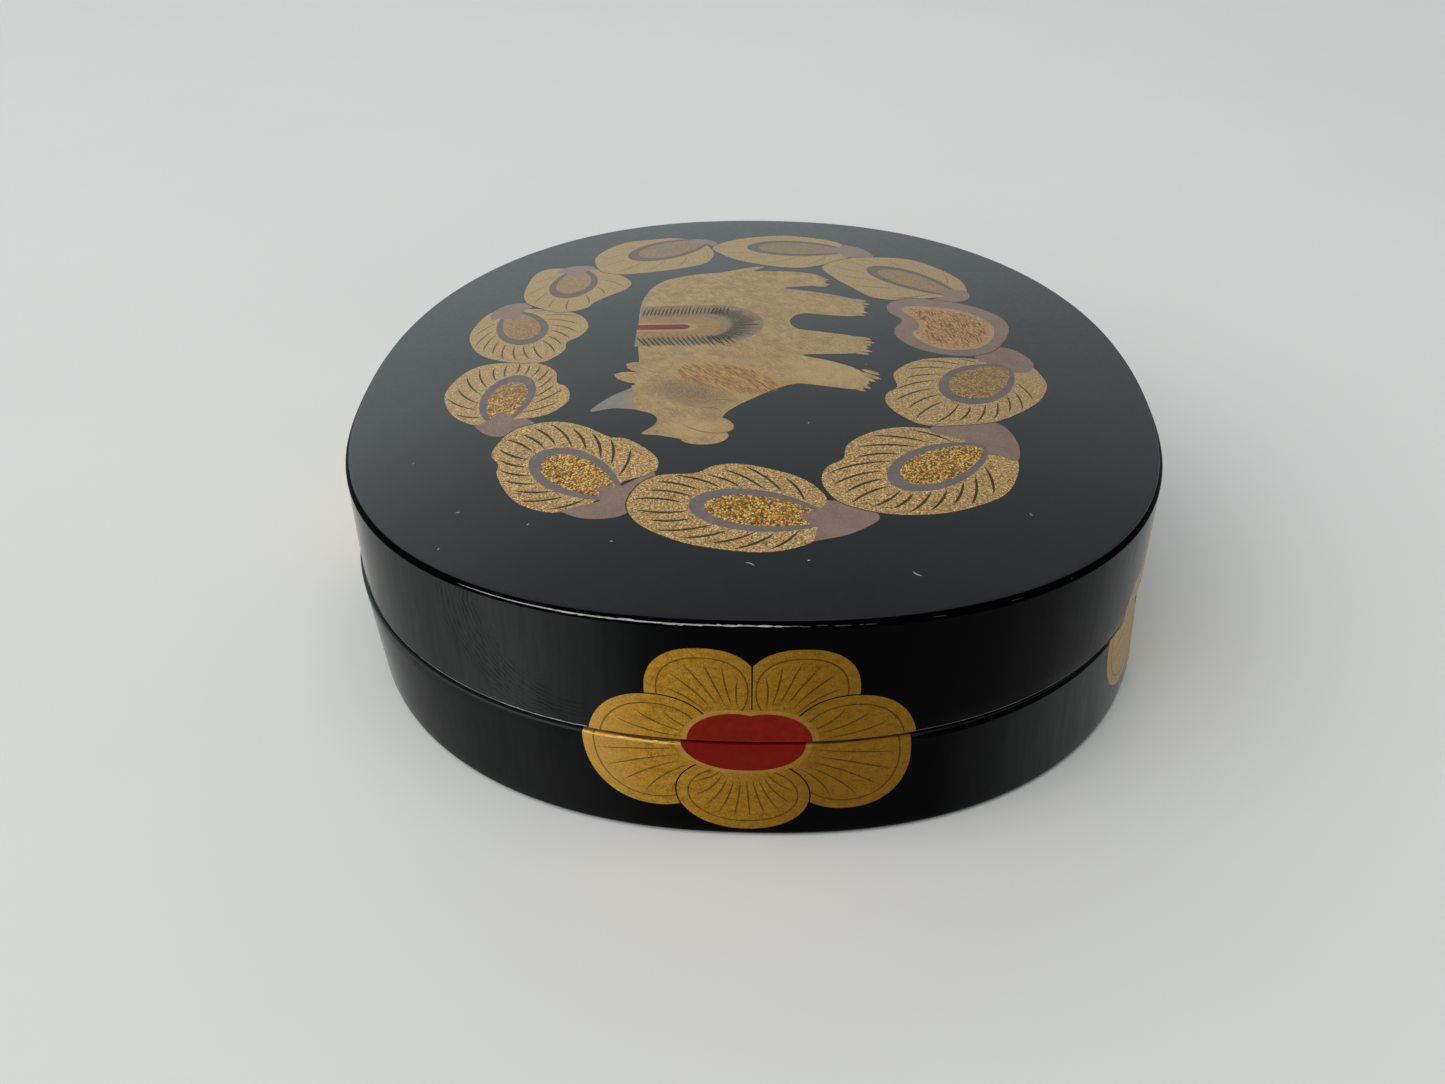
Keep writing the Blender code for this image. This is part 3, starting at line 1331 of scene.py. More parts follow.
class Finish:
    """One material, with short calls for the nodes that feed its shader."""

    def __init__(self, name, roughness=0.5, metallic=0.0, ior=1.5):
        self.material = bpy.data.materials.new(name)
        self.material.use_nodes = True
        self.tree = self.material.node_tree
        self.shader = self.tree.nodes["Principled BSDF"]
        self.shader.inputs["Roughness"].default_value = roughness
        self.shader.inputs["Metallic"].default_value = metallic
        self.shader.inputs["IOR"].default_value = ior
        where = self.add("ShaderNodeTexCoord").outputs["Object"]
        self.place = self.scaled(where, (1 / MM, 1 / MM, 1 / MM))

    def add(self, kind, inputs=None, **settings):
        return add_node(self.tree, kind, inputs, **settings)

    def plus(self, first, second):
        return plus(self.tree, first, second)

    def times(self, first, second):
        return times(self.tree, first, second)

    def scaled(self, where, scale):
        """A place with each of its parts multiplied."""
        return self.add("ShaderNodeMapping", {"Vector": where, "Scale": scale}).outputs[0]

    def noise(self, scale, detail, where=None, roughness=0.6):
        return self.add("ShaderNodeTexNoise", {
            "Vector": where or self.place, "Scale": scale, "Detail": detail,
            "Roughness": roughness,
        }).outputs["Fac"]

    def cells(self, scale, output="Distance"):
        pattern = self.add("ShaderNodeTexVoronoi", {"Vector": self.place, "Scale": scale})
        return pattern.outputs[output]

    def side(self, number):
        """One of the three parts of the place: 0 across, 1 deep, 2 up."""
        return self.add("ShaderNodeSeparateXYZ", {0: self.place}).outputs[number]

    def streaks(self, heading, along, across):
        """Noise drawn out one way seen from above, by its two lengths."""
        turned_place = self.add("ShaderNodeVectorRotate", {
            "Vector": self.place, "Angle": math.radians(-heading),
        }).outputs[0]
        return self.noise(1.0, 3, self.scaled(turned_place, (1 / along, 1 / across, 1.0)))

    def blot(self, x, y, wide, high, heading, soft):
        """A soft oval mask seen from above, 1 in the middle and 0 outside."""
        c, s = math.cos(math.radians(heading)), math.sin(math.radians(heading))
        across = minus(self.tree, self.side(0), x)
        deep = minus(self.tree, self.side(1), y)
        total = 0.0
        for part_across, part_deep, size in ((c, s, wide), (-s, c, high)):
            part = self.plus(
                self.times(across, part_across / size), self.times(deep, part_deep / size)
            )
            total = self.plus(self.times(part, part), total)
        return self.spread(total, 1.0, 0.0, soft * soft, 1.0)

    def dots(self, scale, share, size):
        """A mask of small dots with soft edges, one in some of the cells of a pattern."""
        near = self.spread(self.cells(scale), 1.0, 0.0, dot_core * size, size)
        chosen = self.spread(
            self.cells(scale, "Color"), 0.0, 1.0, 1 - share, 1 - share + dot_choice
        )
        return self.times(near, chosen)

    def farther(self, first, last):
        """0 on what lies near the front of the lid and 1 on what lies at its back."""
        return self.spread(self.side(1), 0.0, 1.0, first, last)

    def ramp(self, value, stops):
        return fill_ramp(self.add("ShaderNodeValToRGB", {"Fac": value}), stops)

    def spread(self, value, low, high, first=0.0, last=1.0):
        """A value's range from first to last, moved to low to high and kept inside it."""
        return self.add("ShaderNodeMapRange", {
            "Value": value, "From Min": first, "From Max": last,
            "To Min": low, "To Max": high,
        }).outputs[0]

    def mix(self, share, first, second):
        node = self.add("ShaderNodeMix", data_type="RGBA")
        self.put(share, node.inputs[0])
        self.put(first, node.inputs[6])
        self.put(second, node.inputs[7])
        return node.outputs[2]

    def put(self, value, socket):
        """Links a socket, or sets a number or a colour."""
        if isinstance(value, bpy.types.NodeSocket):
            self.tree.links.new(value, socket)
        elif isinstance(value, tuple):
            socket.default_value = (*value, 1.0)
        else:
            socket.default_value = value

    def colour(self, value):
        self.put(value, self.shader.inputs["Base Color"])

    def rough(self, value):
        self.put(value, self.shader.inputs["Roughness"])

    def bump(self, height, strength, depth):
        """Relief in the surface, its depth in millimetres."""
        node = self.add("ShaderNodeBump", {
            "Height": height, "Strength": strength, "Distance": depth * MM,
        })
        self.put(node.outputs[0], self.shader.inputs["Normal"])

    def matt(self, fine, high=0.6, low=0.48):
        """The roughness and faint relief of a fine powder under the lacquer."""
        self.rough(self.spread(fine, high, low, 0.3, 0.7))
        self.bump(fine, 0.15, 0.02)


def lacquer_top():
    """Satin black lacquer, faintly mottled, with fine dust."""
    f = Finish("top_lacquer")
    base = f.mix(f.noise(0.35, 4), (0.0056, 0.0068, 0.0084), (0.0080, 0.0096, 0.0115))
    base = f.mix(f.dots(1.1, share=0.10, size=0.06), base, (0.055, 0.058, 0.060))
    base = f.mix(f.dots(0.42, share=0.16, size=0.040), base, (0.24, 0.24, 0.24))
    f.colour(base)
    f.rough(f.spread(f.noise(1.6, 3), 0.28, 0.34, 0.3, 0.7))
    f.bump(f.noise(3.0, 2), 0.05, 0.02)
    return f.material


# How far the lacquer of the wall is painted grey as a reflection at its left and right: places
# across, and levels there
lid_painted_reflection = (
    (-40, 0.165), (-37, 0.100), (-34, 0.036), (-27, 0.031), (-20, 0.044), (-13, 0.021),
    (-8, 0.004), (-4, 0.0003), (21, 0.0003), (26, 0.006), (30, 0.026), (37, 0.125),
    (40, 0.220),
)
box_painted_reflection = (
    (-40, 0.016), (-27, 0.0175), (-20, 0.0155), (-13, 0.0075), (-8, 0.0020),
    (-4, 0.0003), (17, 0.0003), (22, 0.011), (27, 0.038), (32, 0.082), (36.5, 0.175),
    (40, 0.200),
)


reflection_from = -40
reflection_to = 40

# Heights between which the painted reflection on the box gives way to that on the lid
lid_above = (11.1, 11.3)

# Curved lines of a painted reflection of wood grain: their middle, their spacing, and how far
# out they start and stop
grain_middle = (-14.0, 22.0)
grain_spacing = 0.46
grain_start = (7.6, 9.0)
grain_stop = (11.5, 13.5)
grain_right = (-15.0, -12.0)


def painted_grain_reflection(f):
    """Fine curved lines at the left of the front: a painted reflection of the grain of a wooden
    floor.
    """
    across = f.plus(f.side(0), -grain_middle[0])
    up = f.plus(f.side(2), -grain_middle[1])
    square = f.plus(f.times(across, across), f.times(up, up))
    wavy = f.times(f.noise(0.35, 3), 1.6)
    away = f.plus(maths(f.tree, "SQRT", square), wavy)
    lines = maths(f.tree, "SINE", f.times(away, TAU / grain_spacing))
    ring = f.times(f.spread(away, 0.0, 1.0, *grain_start), f.spread(away, 1.0, 0.0, *grain_stop))
    left = f.spread(f.side(0), 1.0, 0.0, *grain_right)
    broken = f.spread(f.noise(0.8, 4), 0.2, 1.0, 0.42, 0.60)
    shown = f.times(ring, f.times(left, broken))
    return f.times(f.spread(lines, 0.0, 0.62, 0.1, 0.9), shown)


def painted_wall_reflection(f):
    """The painted grey reflection on the lacquer, on the box and on the lid above it."""
    across = f.spread(f.side(0), 0.0, 1.0, reflection_from, reflection_to)
    tones = []
    for reflection_levels in (box_painted_reflection, lid_painted_reflection):
        stops = [
            ((x - reflection_from) / (reflection_to - reflection_from), (0.97 * grey, grey, grey))
            for x, grey in reflection_levels
        ]
        tones.append(f.ramp(across, stops))
    return f.mix(f.spread(f.side(2), 0.0, 1.0, *lid_above), *tones)


def lacquer_side():
    """Glossy black lacquer with faint upright grain, a painted grey reflection at the left and
    right, and painted lines of reflected wood grain at the left of the front.
    """
    f = Finish("side_lacquer", ior=1.10)
    black = (0.0008, 0.0009, 0.0010)
    upright = f.noise(0.9, 4, f.scaled(f.place, (1.6, 1.6, 0.16)))
    base = f.mix(painted_grain_reflection(f), painted_wall_reflection(f), black)
    # The painted reflections fade to black towards the back.
    base = f.mix(f.spread(f.side(1), 0.0, 0.75, -12.0, 8.0), base, black)
    f.colour(f.mix(f.spread(upright, 0.0, 0.25, 0.35, 0.7), base, black))
    f.rough(f.spread(upright, 0.10, 0.18, 0.35, 0.7))
    f.bump(f.noise(0.4, 2, f.scaled(f.place, (0.3, 0.3, 1.2))), 0.08, 0.05)
    return f.material


def ridge_black():
    """Deep black with almost no gloss: a painted dark reflection on the narrow edge along the
    ridge, and painted shade on the rim of the box under the lid at the right.
    """
    f = Finish("ridge_black", 0.3, ior=1.04)
    f.colour(f.mix(f.noise(0.8, 3), (0.0004, 0.0004, 0.0005), (0.0012, 0.0013, 0.0014)))
    f.rough(f.spread(f.noise(1.6, 3), 0.24, 0.38, 0.3, 0.7))
    f.bump(f.noise(1.5, 3), 0.05, 0.02)
    return f.material


def seam_edge():
    """The edges at the seam: paler at the left as a painted highlight, and rubbed brown at the
    right.
    """
    f = Finish("seam_edge", ior=1.3)
    right = f.spread(f.side(0), 0.0, 1.0, 32.0, 37.0)
    # Painted highlight: the edges are paler towards the left.
    left = f.spread(f.side(0), 1.0, 0.0, -15.0, -9.0)
    rubbed = f.spread(f.noise(0.9, 5), 0.0, 1.0, 0.44, 0.56)
    bare = f.times(rubbed, right)
    base = f.mix(left, (0.002, 0.002, 0.0025), (0.014, 0.0145, 0.0145))
    f.colour(f.mix(bare, base, (0.15, 0.105, 0.070)))
    f.rough(f.spread(bare, 0.2, 0.5))
    f.bump(f.noise(1.5, 3), 0.1, 0.03)
    return f.material


def lacquer_inside():
    f = Finish("inside_lacquer", ior=1.45)
    f.colour(f.mix(f.noise(0.3, 4), (0.0055, 0.0058, 0.0062), (0.0105, 0.0108, 0.011)))
    f.rough(f.spread(f.noise(1.1, 3), 0.26, 0.38, 0.3, 0.7))
    f.bump(f.noise(0.7, 3), 0.08, 0.05)
    return f.material


def lacquer_under():
    """Plain lacquer under the box, a little rubbed."""
    f = Finish("under_lacquer", ior=1.45)
    rubbed = f.spread(f.noise(0.5, 6), 0.0, 1.0, 0.5, 0.72)
    f.colour(f.mix(rubbed, (0.007, 0.007, 0.008), (0.026, 0.025, 0.024)))
    f.rough(f.spread(rubbed, 0.28, 0.5))
    f.bump(f.noise(1.2, 4), 0.1, 0.04)
    return f.material


def soft_cloud(f):
    """A faint mottle in sprinkled powder."""
    return f.spread(f.noise(0.35, 4), 0.0, 0.30, 0.35, 0.7)


def bean_gold():
    """Orange gold powder of the bean, its fine grains in three tones."""
    f = Finish("bean_gold", 0.5, 0.3)
    plain = (0.49, 0.272, 0.110)
    fine = f.noise(3.6, 2, roughness=0.7)
    tones = f.ramp(fine, [
        (0.36, (0.24, 0.118, 0.042)), (0.47, plain), (0.55, plain),
        (0.66, (0.69, 0.43, 0.21)),
    ])
    f.colour(f.mix(soft_cloud(f), tones, tuple(0.78 * part for part in plain)))
    f.rough(f.spread(fine, 0.58, 0.38))
    f.bump(fine, 0.25, 0.03)
    return f.material


def petal_gold():
    """Pale gold powder, its grain strong at the front of the lid and faint at the back."""
    f = Finish("petal_gold", 0.5, 0.25)
    fine = f.noise(5.6, 2, roughness=0.75)
    tones = f.ramp(fine, [
        (0.36, (0.085, 0.040, 0.010)), (0.46, (0.45, 0.270, 0.089)),
        (0.54, (0.49, 0.300, 0.104)), (0.64, (1.00, 0.74, 0.33)),
    ])
    near = f.mix(soft_cloud(f), tones, (0.355, 0.212, 0.073))
    f.colour(f.mix(f.times(f.farther(-20.0, 12.0), 0.80), near, (0.425, 0.305, 0.152)))
    f.rough(f.spread(fine, 0.58, 0.38))
    f.bump(fine, 0.25, 0.03)
    return f.material


def core_gold():
    """Coarse gold grains set close together, soft and dull on the flowers at the back."""
    f = Finish("core_gold", 0.38, 0.40)
    grain = f.cells(6.0, "Color")
    edge = f.cells(6.0)
    tones = f.ramp(grain, [
        (0.10, (0.09, 0.033, 0.004)), (0.35, (0.44, 0.198, 0.025)),
        (0.62, (0.94, 0.465, 0.064)), (0.86, (1.00, 0.80, 0.29)),
    ])
    gap = f.spread(edge, 0.0, 0.70, 0.36, 0.66)
    near = f.mix(gap, tones, (0.060, 0.028, 0.007))
    soft = f.ramp(f.farther(-8.0, 32.0), [
        (0.0, (0.28, 0.160, 0.062)), (0.35, (0.33, 0.200, 0.088)),
        (0.65, (0.37, 0.238, 0.110)), (0.9, (0.275, 0.206, 0.114)),
    ])
    hairs = f.spread(f.streaks(62, 0.8, 0.11), 0.0, 0.45, 0.45, 0.65)
    soft = f.mix(hairs, soft, (0.17, 0.095, 0.040))
    softened = [(0.0, 0.0), (0.25, 0.60), (1.0, 0.92)]
    share = f.ramp(f.farther(-12.0, 16.0), [(at, (much,) * 3) for at, much in softened])
    f.colour(f.mix(share, near, soft))
    f.rough(f.spread(grain, 0.48, 0.30))
    f.bump(f.spread(edge, 1.0, 0.0, 0.0, 0.7), 0.4, 0.05)
    return f.material


def petal_line():
    """Dark strokes on the petals, brown and ever softer towards the back."""
    f = Finish("petal_line", 0.55)
    tone = f.ramp(f.farther(-16.0, 26.0), [
        (0.0, (0.014, 0.008, 0.005)), (0.27, (0.045, 0.028, 0.013)),
        (0.55, (0.145, 0.098, 0.047)), (1.0, (0.34, 0.25, 0.135)),
    ])
    fine = f.noise(4.0, 3)
    f.colour(f.mix(f.spread(fine, 0.0, 0.4, 0.45, 0.65), tone, (0.17, 0.11, 0.05)))
    f.matt(fine)
    return f.material


def flat_powder(name, low, high, grain=4.0, roughness=0.55, metallic=0.0, far=None):
    """A matt coloured powder with little variation, and its tone at the back of the lid."""
    f = Finish(name, roughness, metallic)
    fine = f.noise(grain, 3)
    mottle = f.plus(fine, f.noise(0.4, 3))
    base = f.mix(f.spread(mottle, 0.0, 1.0, 0.75, 1.25), low, high)
    if far:
        base = f.mix(f.times(f.farther(0.0, 22.0), 0.85), base, far)
    f.colour(base)
    f.matt(fine, roughness + 0.06, roughness - 0.06)
    return f.material


def horn_grey():
    """Grey horn, brown and soft where it leaves the brow."""
    f = Finish("horn_grey", 0.55)
    fine = f.noise(2.0, 3)
    base = f.mix(fine, (0.165, 0.158, 0.142), (0.29, 0.275, 0.245))
    root = f.spread(f.plus(f.side(0), f.times(fine, 1.6)), 0.0, 0.9, -12.0, -9.6)
    f.colour(f.mix(root, base, (0.33, 0.235, 0.115)))
    f.matt(fine)
    return f.material


# Soft patches on the beast: place, size, heading, softness, strength and colour
beast_patches = (
    # Shoulder
    (-2.4, -6.0, 7.0, 3.5, -20, 0.5, 0.90, (0.46, 0.252, 0.076)),
    # Cheek
    (-5.7, -8.7, 5.4, 2.5, -28, 0.2, 0.85, (0.205, 0.132, 0.070)),
    # Nose
    (-5.0, -15.0, 3.6, 1.7, 0, 0.4, 0.55, (0.54, 0.355, 0.135)),
    # Foreleg
    (7.5, -4.6, 5.0, 3.6, -20, 0.4, 0.50, (0.54, 0.375, 0.155)),
)


def beast_gold():
    """Smooth gold with a soft mottle, orange at the shoulder and brown at the cheek."""
    f = Finish("beast_gold", 0.5, 0.2)
    mottle = f.spread(f.noise(0.8, 5), 0.0, 0.8, 0.40, 0.66)
    base = f.mix(mottle, (0.470, 0.322, 0.140), (0.300, 0.188, 0.080))
    fur = f.spread(f.streaks(-50, 1.1, 0.16), 0.0, 0.7, 0.47, 0.64)
    base = f.mix(fur, base, (0.27, 0.165, 0.065))
    for *oval_mask, strength, tone in beast_patches:
        base = f.mix(f.times(f.blot(*oval_mask), strength), base, tone)
    fine = f.noise(6.0, 2)
    f.colour(f.mix(f.spread(fine, 0.0, 0.35, 0.45, 0.7), base, (0.60, 0.48, 0.27)))
    f.matt(fine, 0.55, 0.42)
    return f.material


def side_gold(name, low, high, grains=(0.66, 0.38, 0.05), pale=(0.60, 0.52, 0.34)):
    """Ochre gold of the rosettes, in two tones with fine bright grains.

    The front rosette has a painted highlight at its left and painted shade at its right, and the
    one at the right has a pale painted sheen where it turns to the front.
    """
    f = Finish(name, 0.42, 0.45, 1.15)
    streak = f.noise(1.3, 4, f.scaled(f.place, (1.0, 1.0, 1.6)))
    fine = f.noise(7.0, 2)
    base = f.mix(f.spread(streak, 0.0, 1.0, 0.35, 0.68), low, high)
    base = f.mix(f.spread(fine, 0.0, 0.6, 0.48, 0.66), base, grains)
    # Painted highlight: brighter towards the left.
    bright = (1.25 * grains[0], 1.28 * grains[1], 2.6 * grains[2])
    base = f.mix(f.spread(f.side(0), 0.55, 0.0, -14.5, -7.5), base, bright)
    # Painted shade at the right of the front rosette.
    front = f.spread(f.side(1), 1.0, 0.0, -33.0, -28.0)
    shade = f.times(f.spread(f.side(0), 0.0, 0.62, -7.0, 6.0), front)
    base = f.mix(shade, base, (0.40 * low[0], 0.37 * low[1], 0.0005))
    # Painted sheen: paler where the rosette at the right turns to the front.
    turning = f.spread(f.side(1), 1.0, 0.0, -19.0, -4.0)
    painted_sheen = f.times(f.spread(f.side(0), 0.0, 0.5, 30.0, 36.0), turning)
    f.colour(f.mix(painted_sheen, base, pale))
    f.rough(f.spread(fine, 0.50, 0.34, 0.3, 0.7))
    relief = f.plus(streak, f.times(f.noise(3.2, 3), 0.8))
    f.bump(f.plus(relief, f.times(fine, 0.4)), 0.5, 0.09)
    return f.material


def red_lacquer():
    """Red lacquer of the bean, deeper on the box than on the lid."""
    f = Finish("red_lacquer", 0.4, 0.0, 1.14)
    mottle = f.noise(1.1, 5)
    base = f.mix(f.spread(mottle, 0.0, 1.0, 0.35, 0.7), (0.165, 0.0065, 0.0018),
                 (0.235, 0.0100, 0.0032))
    base = f.mix(f.dots(1.2, share=0.2, size=0.14), base, (0.06, 0.004, 0.004))
    below = f.spread(f.side(2), 0.5, 0.0, 10.9, 11.4)
    f.colour(f.mix(below, base, (0.170, 0.0025, 0.0003)))
    f.rough(f.spread(mottle, 0.34, 0.46))
    f.bump(f.noise(2.4, 3), 0.15, 0.03)
    return f.material


def make_materials():
    made = [
        lacquer_top(), lacquer_side(), ridge_black(), seam_edge(), lacquer_inside(),
        lacquer_under(), petal_gold(), core_gold(), petal_line(), bean_gold(),
        beast_gold(), horn_grey(), red_lacquer(),
        # Pale line: wear and a painted highlight on the ridge, and a painted highlight on the
        # lower edge of the lid.
        flat_powder("wear_and_highlight_line", (0.22, 0.215, 0.205), (0.46, 0.45, 0.43), 1.5, 0.4),
        # Grey line: specks of wear on the ridge, and a painted highlight on the lower edge of
        # the lid.
        flat_powder("edge_line", (0.022, 0.023, 0.023), (0.065, 0.067, 0.067), 1.2, 0.4),
        # Painted highlight along the lower edge of the lid.
        flat_powder("painted_highlight_line", (0.09, 0.092, 0.092), (0.21, 0.213, 0.21), 1.2, 0.4),
        flat_powder("bare_edge", (0.010, 0.005, 0.003), (0.075, 0.038, 0.016), 1.6, 0.8),
        # Gold of the painted highlight on the rim of the box.
        flat_powder("glint_gold", (0.62, 0.36, 0.075), (0.90, 0.60, 0.18), 2.0, 0.3, 0.4),
        flat_powder("grey_band", (0.122, 0.106, 0.104), (0.172, 0.150, 0.146),
                    far=(0.165, 0.132, 0.100)),
        flat_powder("mauve", (0.192, 0.128, 0.100), (0.262, 0.178, 0.139),
                    far=(0.300, 0.225, 0.185)),
        flat_powder("fringe_line", (0.018, 0.012, 0.008), (0.045, 0.031, 0.020)),
        flat_powder("tan_rim", (0.33, 0.225, 0.12), (0.45, 0.325, 0.18)),
        flat_powder("bean_hair", (0.10, 0.050, 0.020), (0.17, 0.090, 0.035)),
        flat_powder("mane_brown", (0.200, 0.098, 0.030), (0.30, 0.158, 0.052)),
        flat_powder("cloth_grey", (0.21, 0.162, 0.092), (0.29, 0.226, 0.130), 2.0),
        flat_powder("cloth_orange", (0.29, 0.170, 0.072), (0.37, 0.228, 0.100), 2.0),
        flat_powder("cloth_pale", (0.37, 0.235, 0.120), (0.46, 0.305, 0.155), 2.0),
        flat_powder("cloth_red", (0.150, 0.030, 0.036), (0.22, 0.050, 0.056)),
        flat_powder("dust", (0.24, 0.24, 0.24), (0.50, 0.50, 0.49)),
        side_gold("side_gold", (0.30, 0.138, 0.009), (0.50, 0.252, 0.022)),
        side_gold("gold_shade", (0.125, 0.056, 0.004), (0.205, 0.100, 0.009),
                  grains=(0.28, 0.150, 0.018), pale=(0.34, 0.28, 0.16)),
        side_gold("gold_rim", (0.40, 0.21, 0.040), (0.54, 0.31, 0.070)),
    ]
    return {material.name: material for material in made}


# The two pieces

# Where the worn lines and the painted highlights run: a share of the way down the ridge, and
# just past the edges at the seam, whose tone reaches a rim band further in on the box
ridge_line = 0.70
lid_line = 0.02
box_line = 0.05
rim_band = 0.3


def make_lid(bend, dome):
    profile = lid_profile()
    wall = wall_sheet(profile, lid_wall_shapes(profile), "side_lacquer")
    crown = crown_sheet(
        plan_ring(ridge_bevel), wreath() + beast() + lid_marks(), "top_lacquer", crown_grid
    )
    ceiling_inset, ceiling_edge = profile[-1]
    ceiling = crown_sheet(plan_ring(ceiling_inset), [], "inside_lacquer", plain_grid)
    inner_half = half_width - ceiling_inset
    inner_fall = side_fall * (inner_half / half_width) ** 2
    sizes = {"Plan Power": plan_power, "Middle": lid_middle * MM}
    outer = {"Half Width": half_width * MM, "Edge Height": ridge_height * MM,
             "Rise": dome_rise * MM, "Side Fall": side_fall * MM,
             "Rim Height": rim_height * MM}
    inner = {"Half Width": inner_half * MM, "Edge Height": ceiling_edge * MM,
             "Rise": dome_rise * MM, "Side Fall": inner_fall * MM}
    return joined("lid_shell", [
        shaped("lid_wall", wall, bend, sizes | outer, on_wall(profile, lid_follow)),
        shaped("lid_crown", crown, dome, sizes | outer, on_plan),
        shaped("lid_ceiling", ceiling, dome, sizes | inner, on_plan),
    ])


def lid_wall_shapes(profile):
    """Finishes down the wall of the lid, then the upper halves of the rosettes."""
    ridge = ridge_line * distance_to(profile, corner_at(profile, 0.0, bevel_foot))
    edge = distance_to(profile, corner_at(profile, 0.0, wall_foot))
    under = distance_to(profile, corner_at(profile, edge_round, lid_lower_edge))
    end = distance_to(profile, len(profile) - 1)
    black_end = len(ridge_upper + ridge_lower) - 1
    # The bevel of the ridge is painted deep black, as a painted dark reflection.
    plain = bands([
        (distance_to(profile, 1), distance_to(profile, black_end), "ridge_black"),
        (edge, under, "seam_edge"),
        (under, end, "inside_lacquer"),
    ])
    seam = edge + wall_foot - (lid_lower_edge - rest_gap / 2)
    shapes = plain + wall_rosettes(seam, on_lid=True)
    # Worn marks and painted highlights on the ridge and along the lower edge of the lid.
    for marks, level, finish in (
        (ridge_wear_and_highlight(), ridge, "wear_and_highlight_line"),
        (ridge_specks(), ridge, "edge_line"),
        (seam_hairline(), edge + lid_line, "edge_line"),
        (lid_edge_highlight(), edge + lid_line, "painted_highlight_line"),
        (edge_highlight_specks(), edge + lid_line, "wear_and_highlight_line"),
    ):
        shapes += round_wall(marks, level, finish)
    return shapes


def make_box(bend, dome):
    profile = box_profile()
    wall = wall_sheet(profile, box_wall_shapes(profile), "side_lacquer")
    under = crown_sheet(
        plan_ring(foot_taper + foot_round), [], "under_lacquer", plain_grid
    )
    floor_inset = profile[-1][0]
    floor = crown_sheet(plan_ring(floor_inset), [], "inside_lacquer", plain_grid)
    floor_lean = foot_lean * (1 - floor_thickness / rim_height)
    sizes = {"Plan Power": plan_power, "Rise": 0.0, "Half Width": half_width * MM,
             "Side Fall": 0.0}
    bent = {"Middle": box_middle * MM, "Foot Lean": foot_lean * MM,
            "Rim Height": rim_height * MM}
    low = {"Middle": (box_middle + foot_lean) * MM, "Edge Height": 0.0}
    high = {"Middle": (box_middle + floor_lean) * MM,
            "Edge Height": floor_thickness * MM}
    return joined("box_shell", [
        shaped("box_wall", wall, bend, sizes | bent, on_wall(profile, box_follow)),
        shaped("box_under", under, dome, sizes | low, on_plan),
        shaped("box_floor", floor, dome, sizes | high, on_plan),
    ])


def box_wall_shapes(profile):
    """Finishes up the wall of the box, then the lower halves of the rosettes."""
    edge = distance_to(profile, corner_at(profile, 0.0, rim_height - edge_round))
    rim = distance_to(profile, corner_at(profile, edge_round, rim_height)) + rim_band
    end = distance_to(profile, len(profile) - 1)
    plain = bands([(edge, rim, "seam_edge"), (rim, end, "inside_lacquer")])
    seam = edge + edge_round + rest_gap / 2
    # Painted shade on the rim of the box under the edge of the lid at the right, in deep black.
    shapes = plain + round_wall(seam_shade(), edge, "ridge_black")
    shapes += wall_rosettes(seam, on_lid=False)
    shapes += round_wall(seam_bare(), edge, "bare_edge")
    # Painted highlight on the rim of the box at the left petal.
    return shapes + round_wall(seam_glint(), edge + box_line, "glint_gold")


def on_wall(profile, follow):
    """Where a point of a wall sheet lies, and how far it follows the ridge."""
    def place(point):
        inset, height = along_profile(profile, point.y)
        spot = (turn_at(point.x), inset * MM, height * MM)
        return spot, follow(inset, height)
    return place


def on_plan(point):
    return (point.x * MM, point.y * MM, 0.0), 0.0


# Camera, floor and light

# The photograph's viewpoint, found from the outline of the box in it
camera_place = (lid_middle + 1.981, -125.08, 92.636)
camera_pitch = 35.5348
camera_yaw = 2.373
camera_roll = -0.4269
sensor_width = 36.0
focal_length = 34.88

# Sizes and places of the floor and the lights, in metres
floor_half = 2.5
lights = (
    ("window", (-0.70, -0.42, 0.90), 1.1, 6.2),
    ("overhead", (0.1, -0.2, 1.2), 0.9, 3.3),
)
warm_white = (1.0, 0.915, 0.885)

# Brightness of the surroundings by height, its tint, and its fall to the right between
# a most and a least
room_levels = (
    (0.13, 0.54), (0.24, 0.80), (0.32, 0.97), (0.43, 0.71), (0.61, 0.61), (0.72, 0.46),
    (0.83, 0.11),
)
room_tint = (0.90, 1.0, 1.02)
room_strength = 1.2
room_fall = 1.25
room_least = 0.4
room_most = 1.21


def make_camera():
    data = bpy.data.cameras.new("camera")
    data.sensor_width = sensor_width
    data.lens = focal_length
    data.clip_start = 0.005
    data.clip_end = 20.0
    camera = bpy.data.objects.new("camera", data)
    camera.matrix_world = (
        Matrix.Translation(Vector(camera_place) * MM)
        @ Matrix.Rotation(math.radians(camera_yaw), 4, "Z")
        @ Matrix.Rotation(math.radians(90 - camera_pitch), 4, "X")
        @ Matrix.Rotation(math.radians(camera_roll), 4, "Z")
    )
    bpy.context.scene.collection.objects.link(camera)
    bpy.context.scene.camera = camera


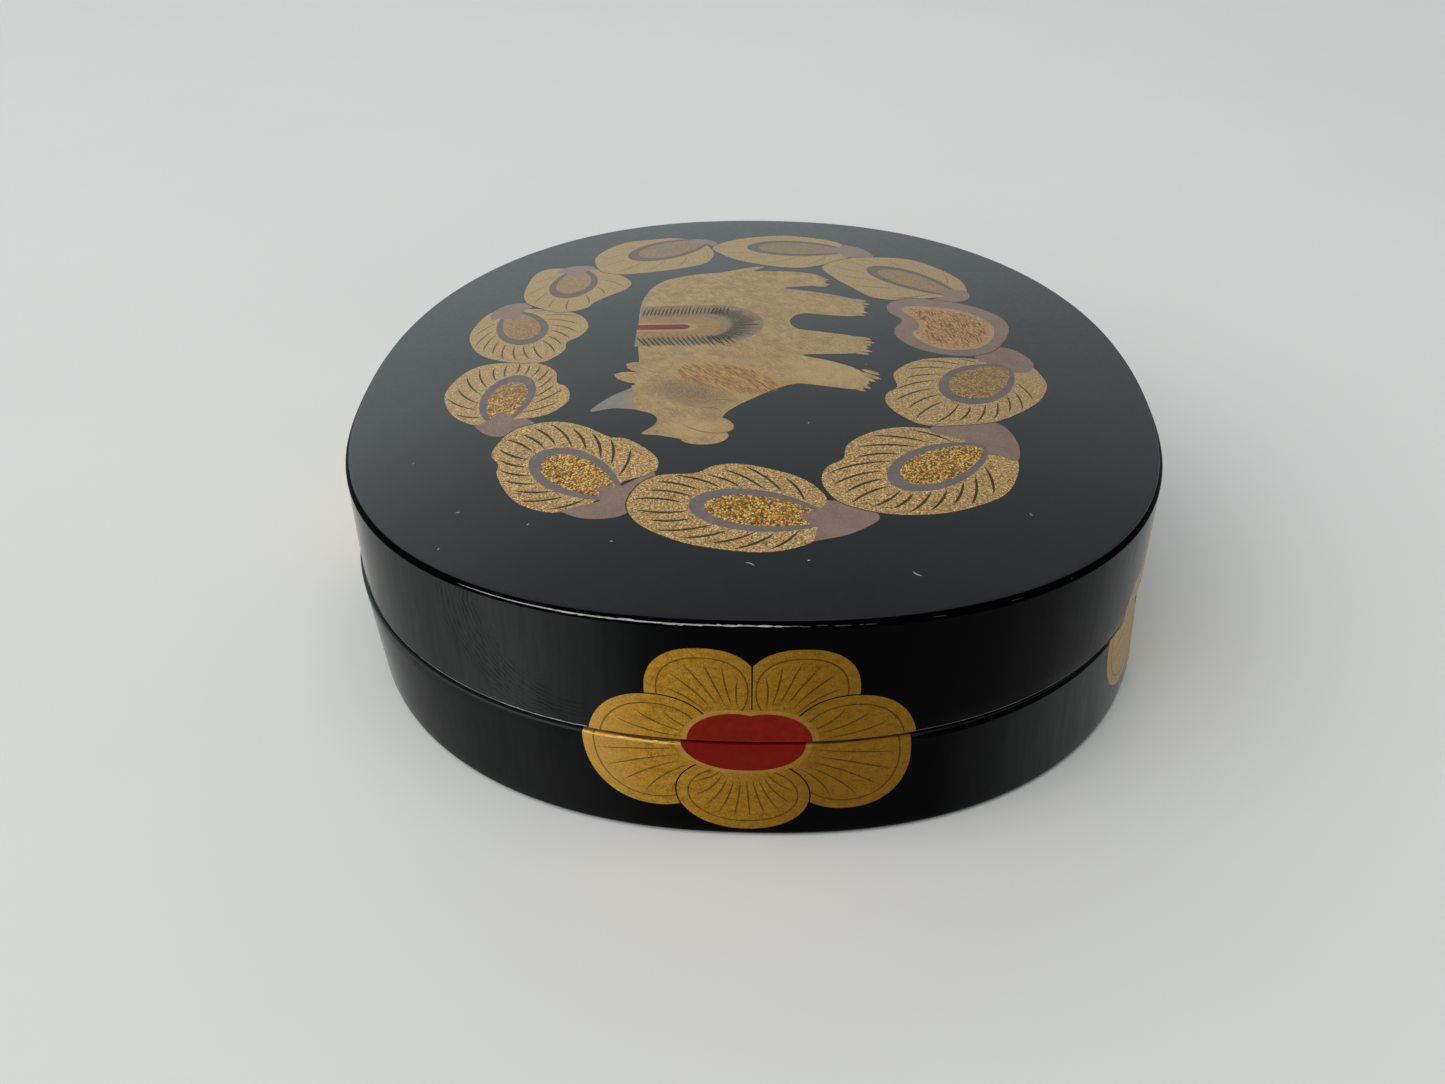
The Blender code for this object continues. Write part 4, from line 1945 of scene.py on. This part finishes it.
def make_floor():
    """A plain pale floor."""
    f = Finish("pale_floor", 0.55, 0.0, 1.4)
    f.colour(f.mix(f.noise(0.02, 4), (0.798, 0.822, 0.806), (0.848, 0.872, 0.856)))
    mesh = bpy.data.meshes.new("floor")
    corners = [(x * floor_half, y * floor_half, 0) for x, y in
               ((-1, -1), (1, -1), (1, 1), (-1, 1))]
    mesh.from_pydata(corners, [], [(0, 1, 2, 3)])
    mesh.materials.append(f.material)
    floor = bpy.data.objects.new("floor", mesh)
    bpy.context.scene.collection.objects.link(floor)


def soft_light(name, place, size, power):
    """A square light that faces the box."""
    data = bpy.data.lights.new(name, "AREA")
    data.shape = "RECTANGLE"
    data.size = data.size_y = size
    data.energy = power
    data.color = warm_white
    light = bpy.data.objects.new(name, data)
    light.location = place
    light.rotation_euler = (-Vector(place)).to_track_quat("-Z", "Y").to_euler()
    bpy.context.scene.collection.objects.link(light)


def make_room():
    """Soft studio surroundings, bright near the horizon and at the left."""
    world = bpy.data.worlds.new("studio")
    world.use_nodes = True
    tree = world.node_tree
    where = add_node(tree, "ShaderNodeTexCoord").outputs["Generated"]
    across, deep, height = add_node(tree, "ShaderNodeSeparateXYZ", {0: where}).outputs
    stops = [(at, tuple(tint * level for tint in room_tint)) for at, level in room_levels]
    colour = fill_ramp(add_node(tree, "ShaderNodeValToRGB", {"Fac": height}), stops)
    falling = minus(tree, room_strength, times(tree, across, room_fall))
    strength = maths(tree, "MAXIMUM", maths(tree, "MINIMUM", falling, room_most), room_least)
    background = tree.nodes["Background"]
    tree.links.new(colour, background.inputs["Color"])
    tree.links.new(strength, background.inputs["Strength"])
    bpy.context.scene.world = world


def make_stage():
    make_camera()
    make_floor()
    make_room()
    for light in lights:
        soft_light(*light)
    bpy.context.scene.view_settings.view_transform = "Standard"


materials = make_materials()
make_stage()
bend = bend_tree()
dome = dome_tree()
for piece, node, slot in (
    (make_lid(bend, dome), "lid", "lid_lacquer"),
    (make_box(bend, dome), "box", "box_lacquer"),
):
    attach(piece, "root")
    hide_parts(node)
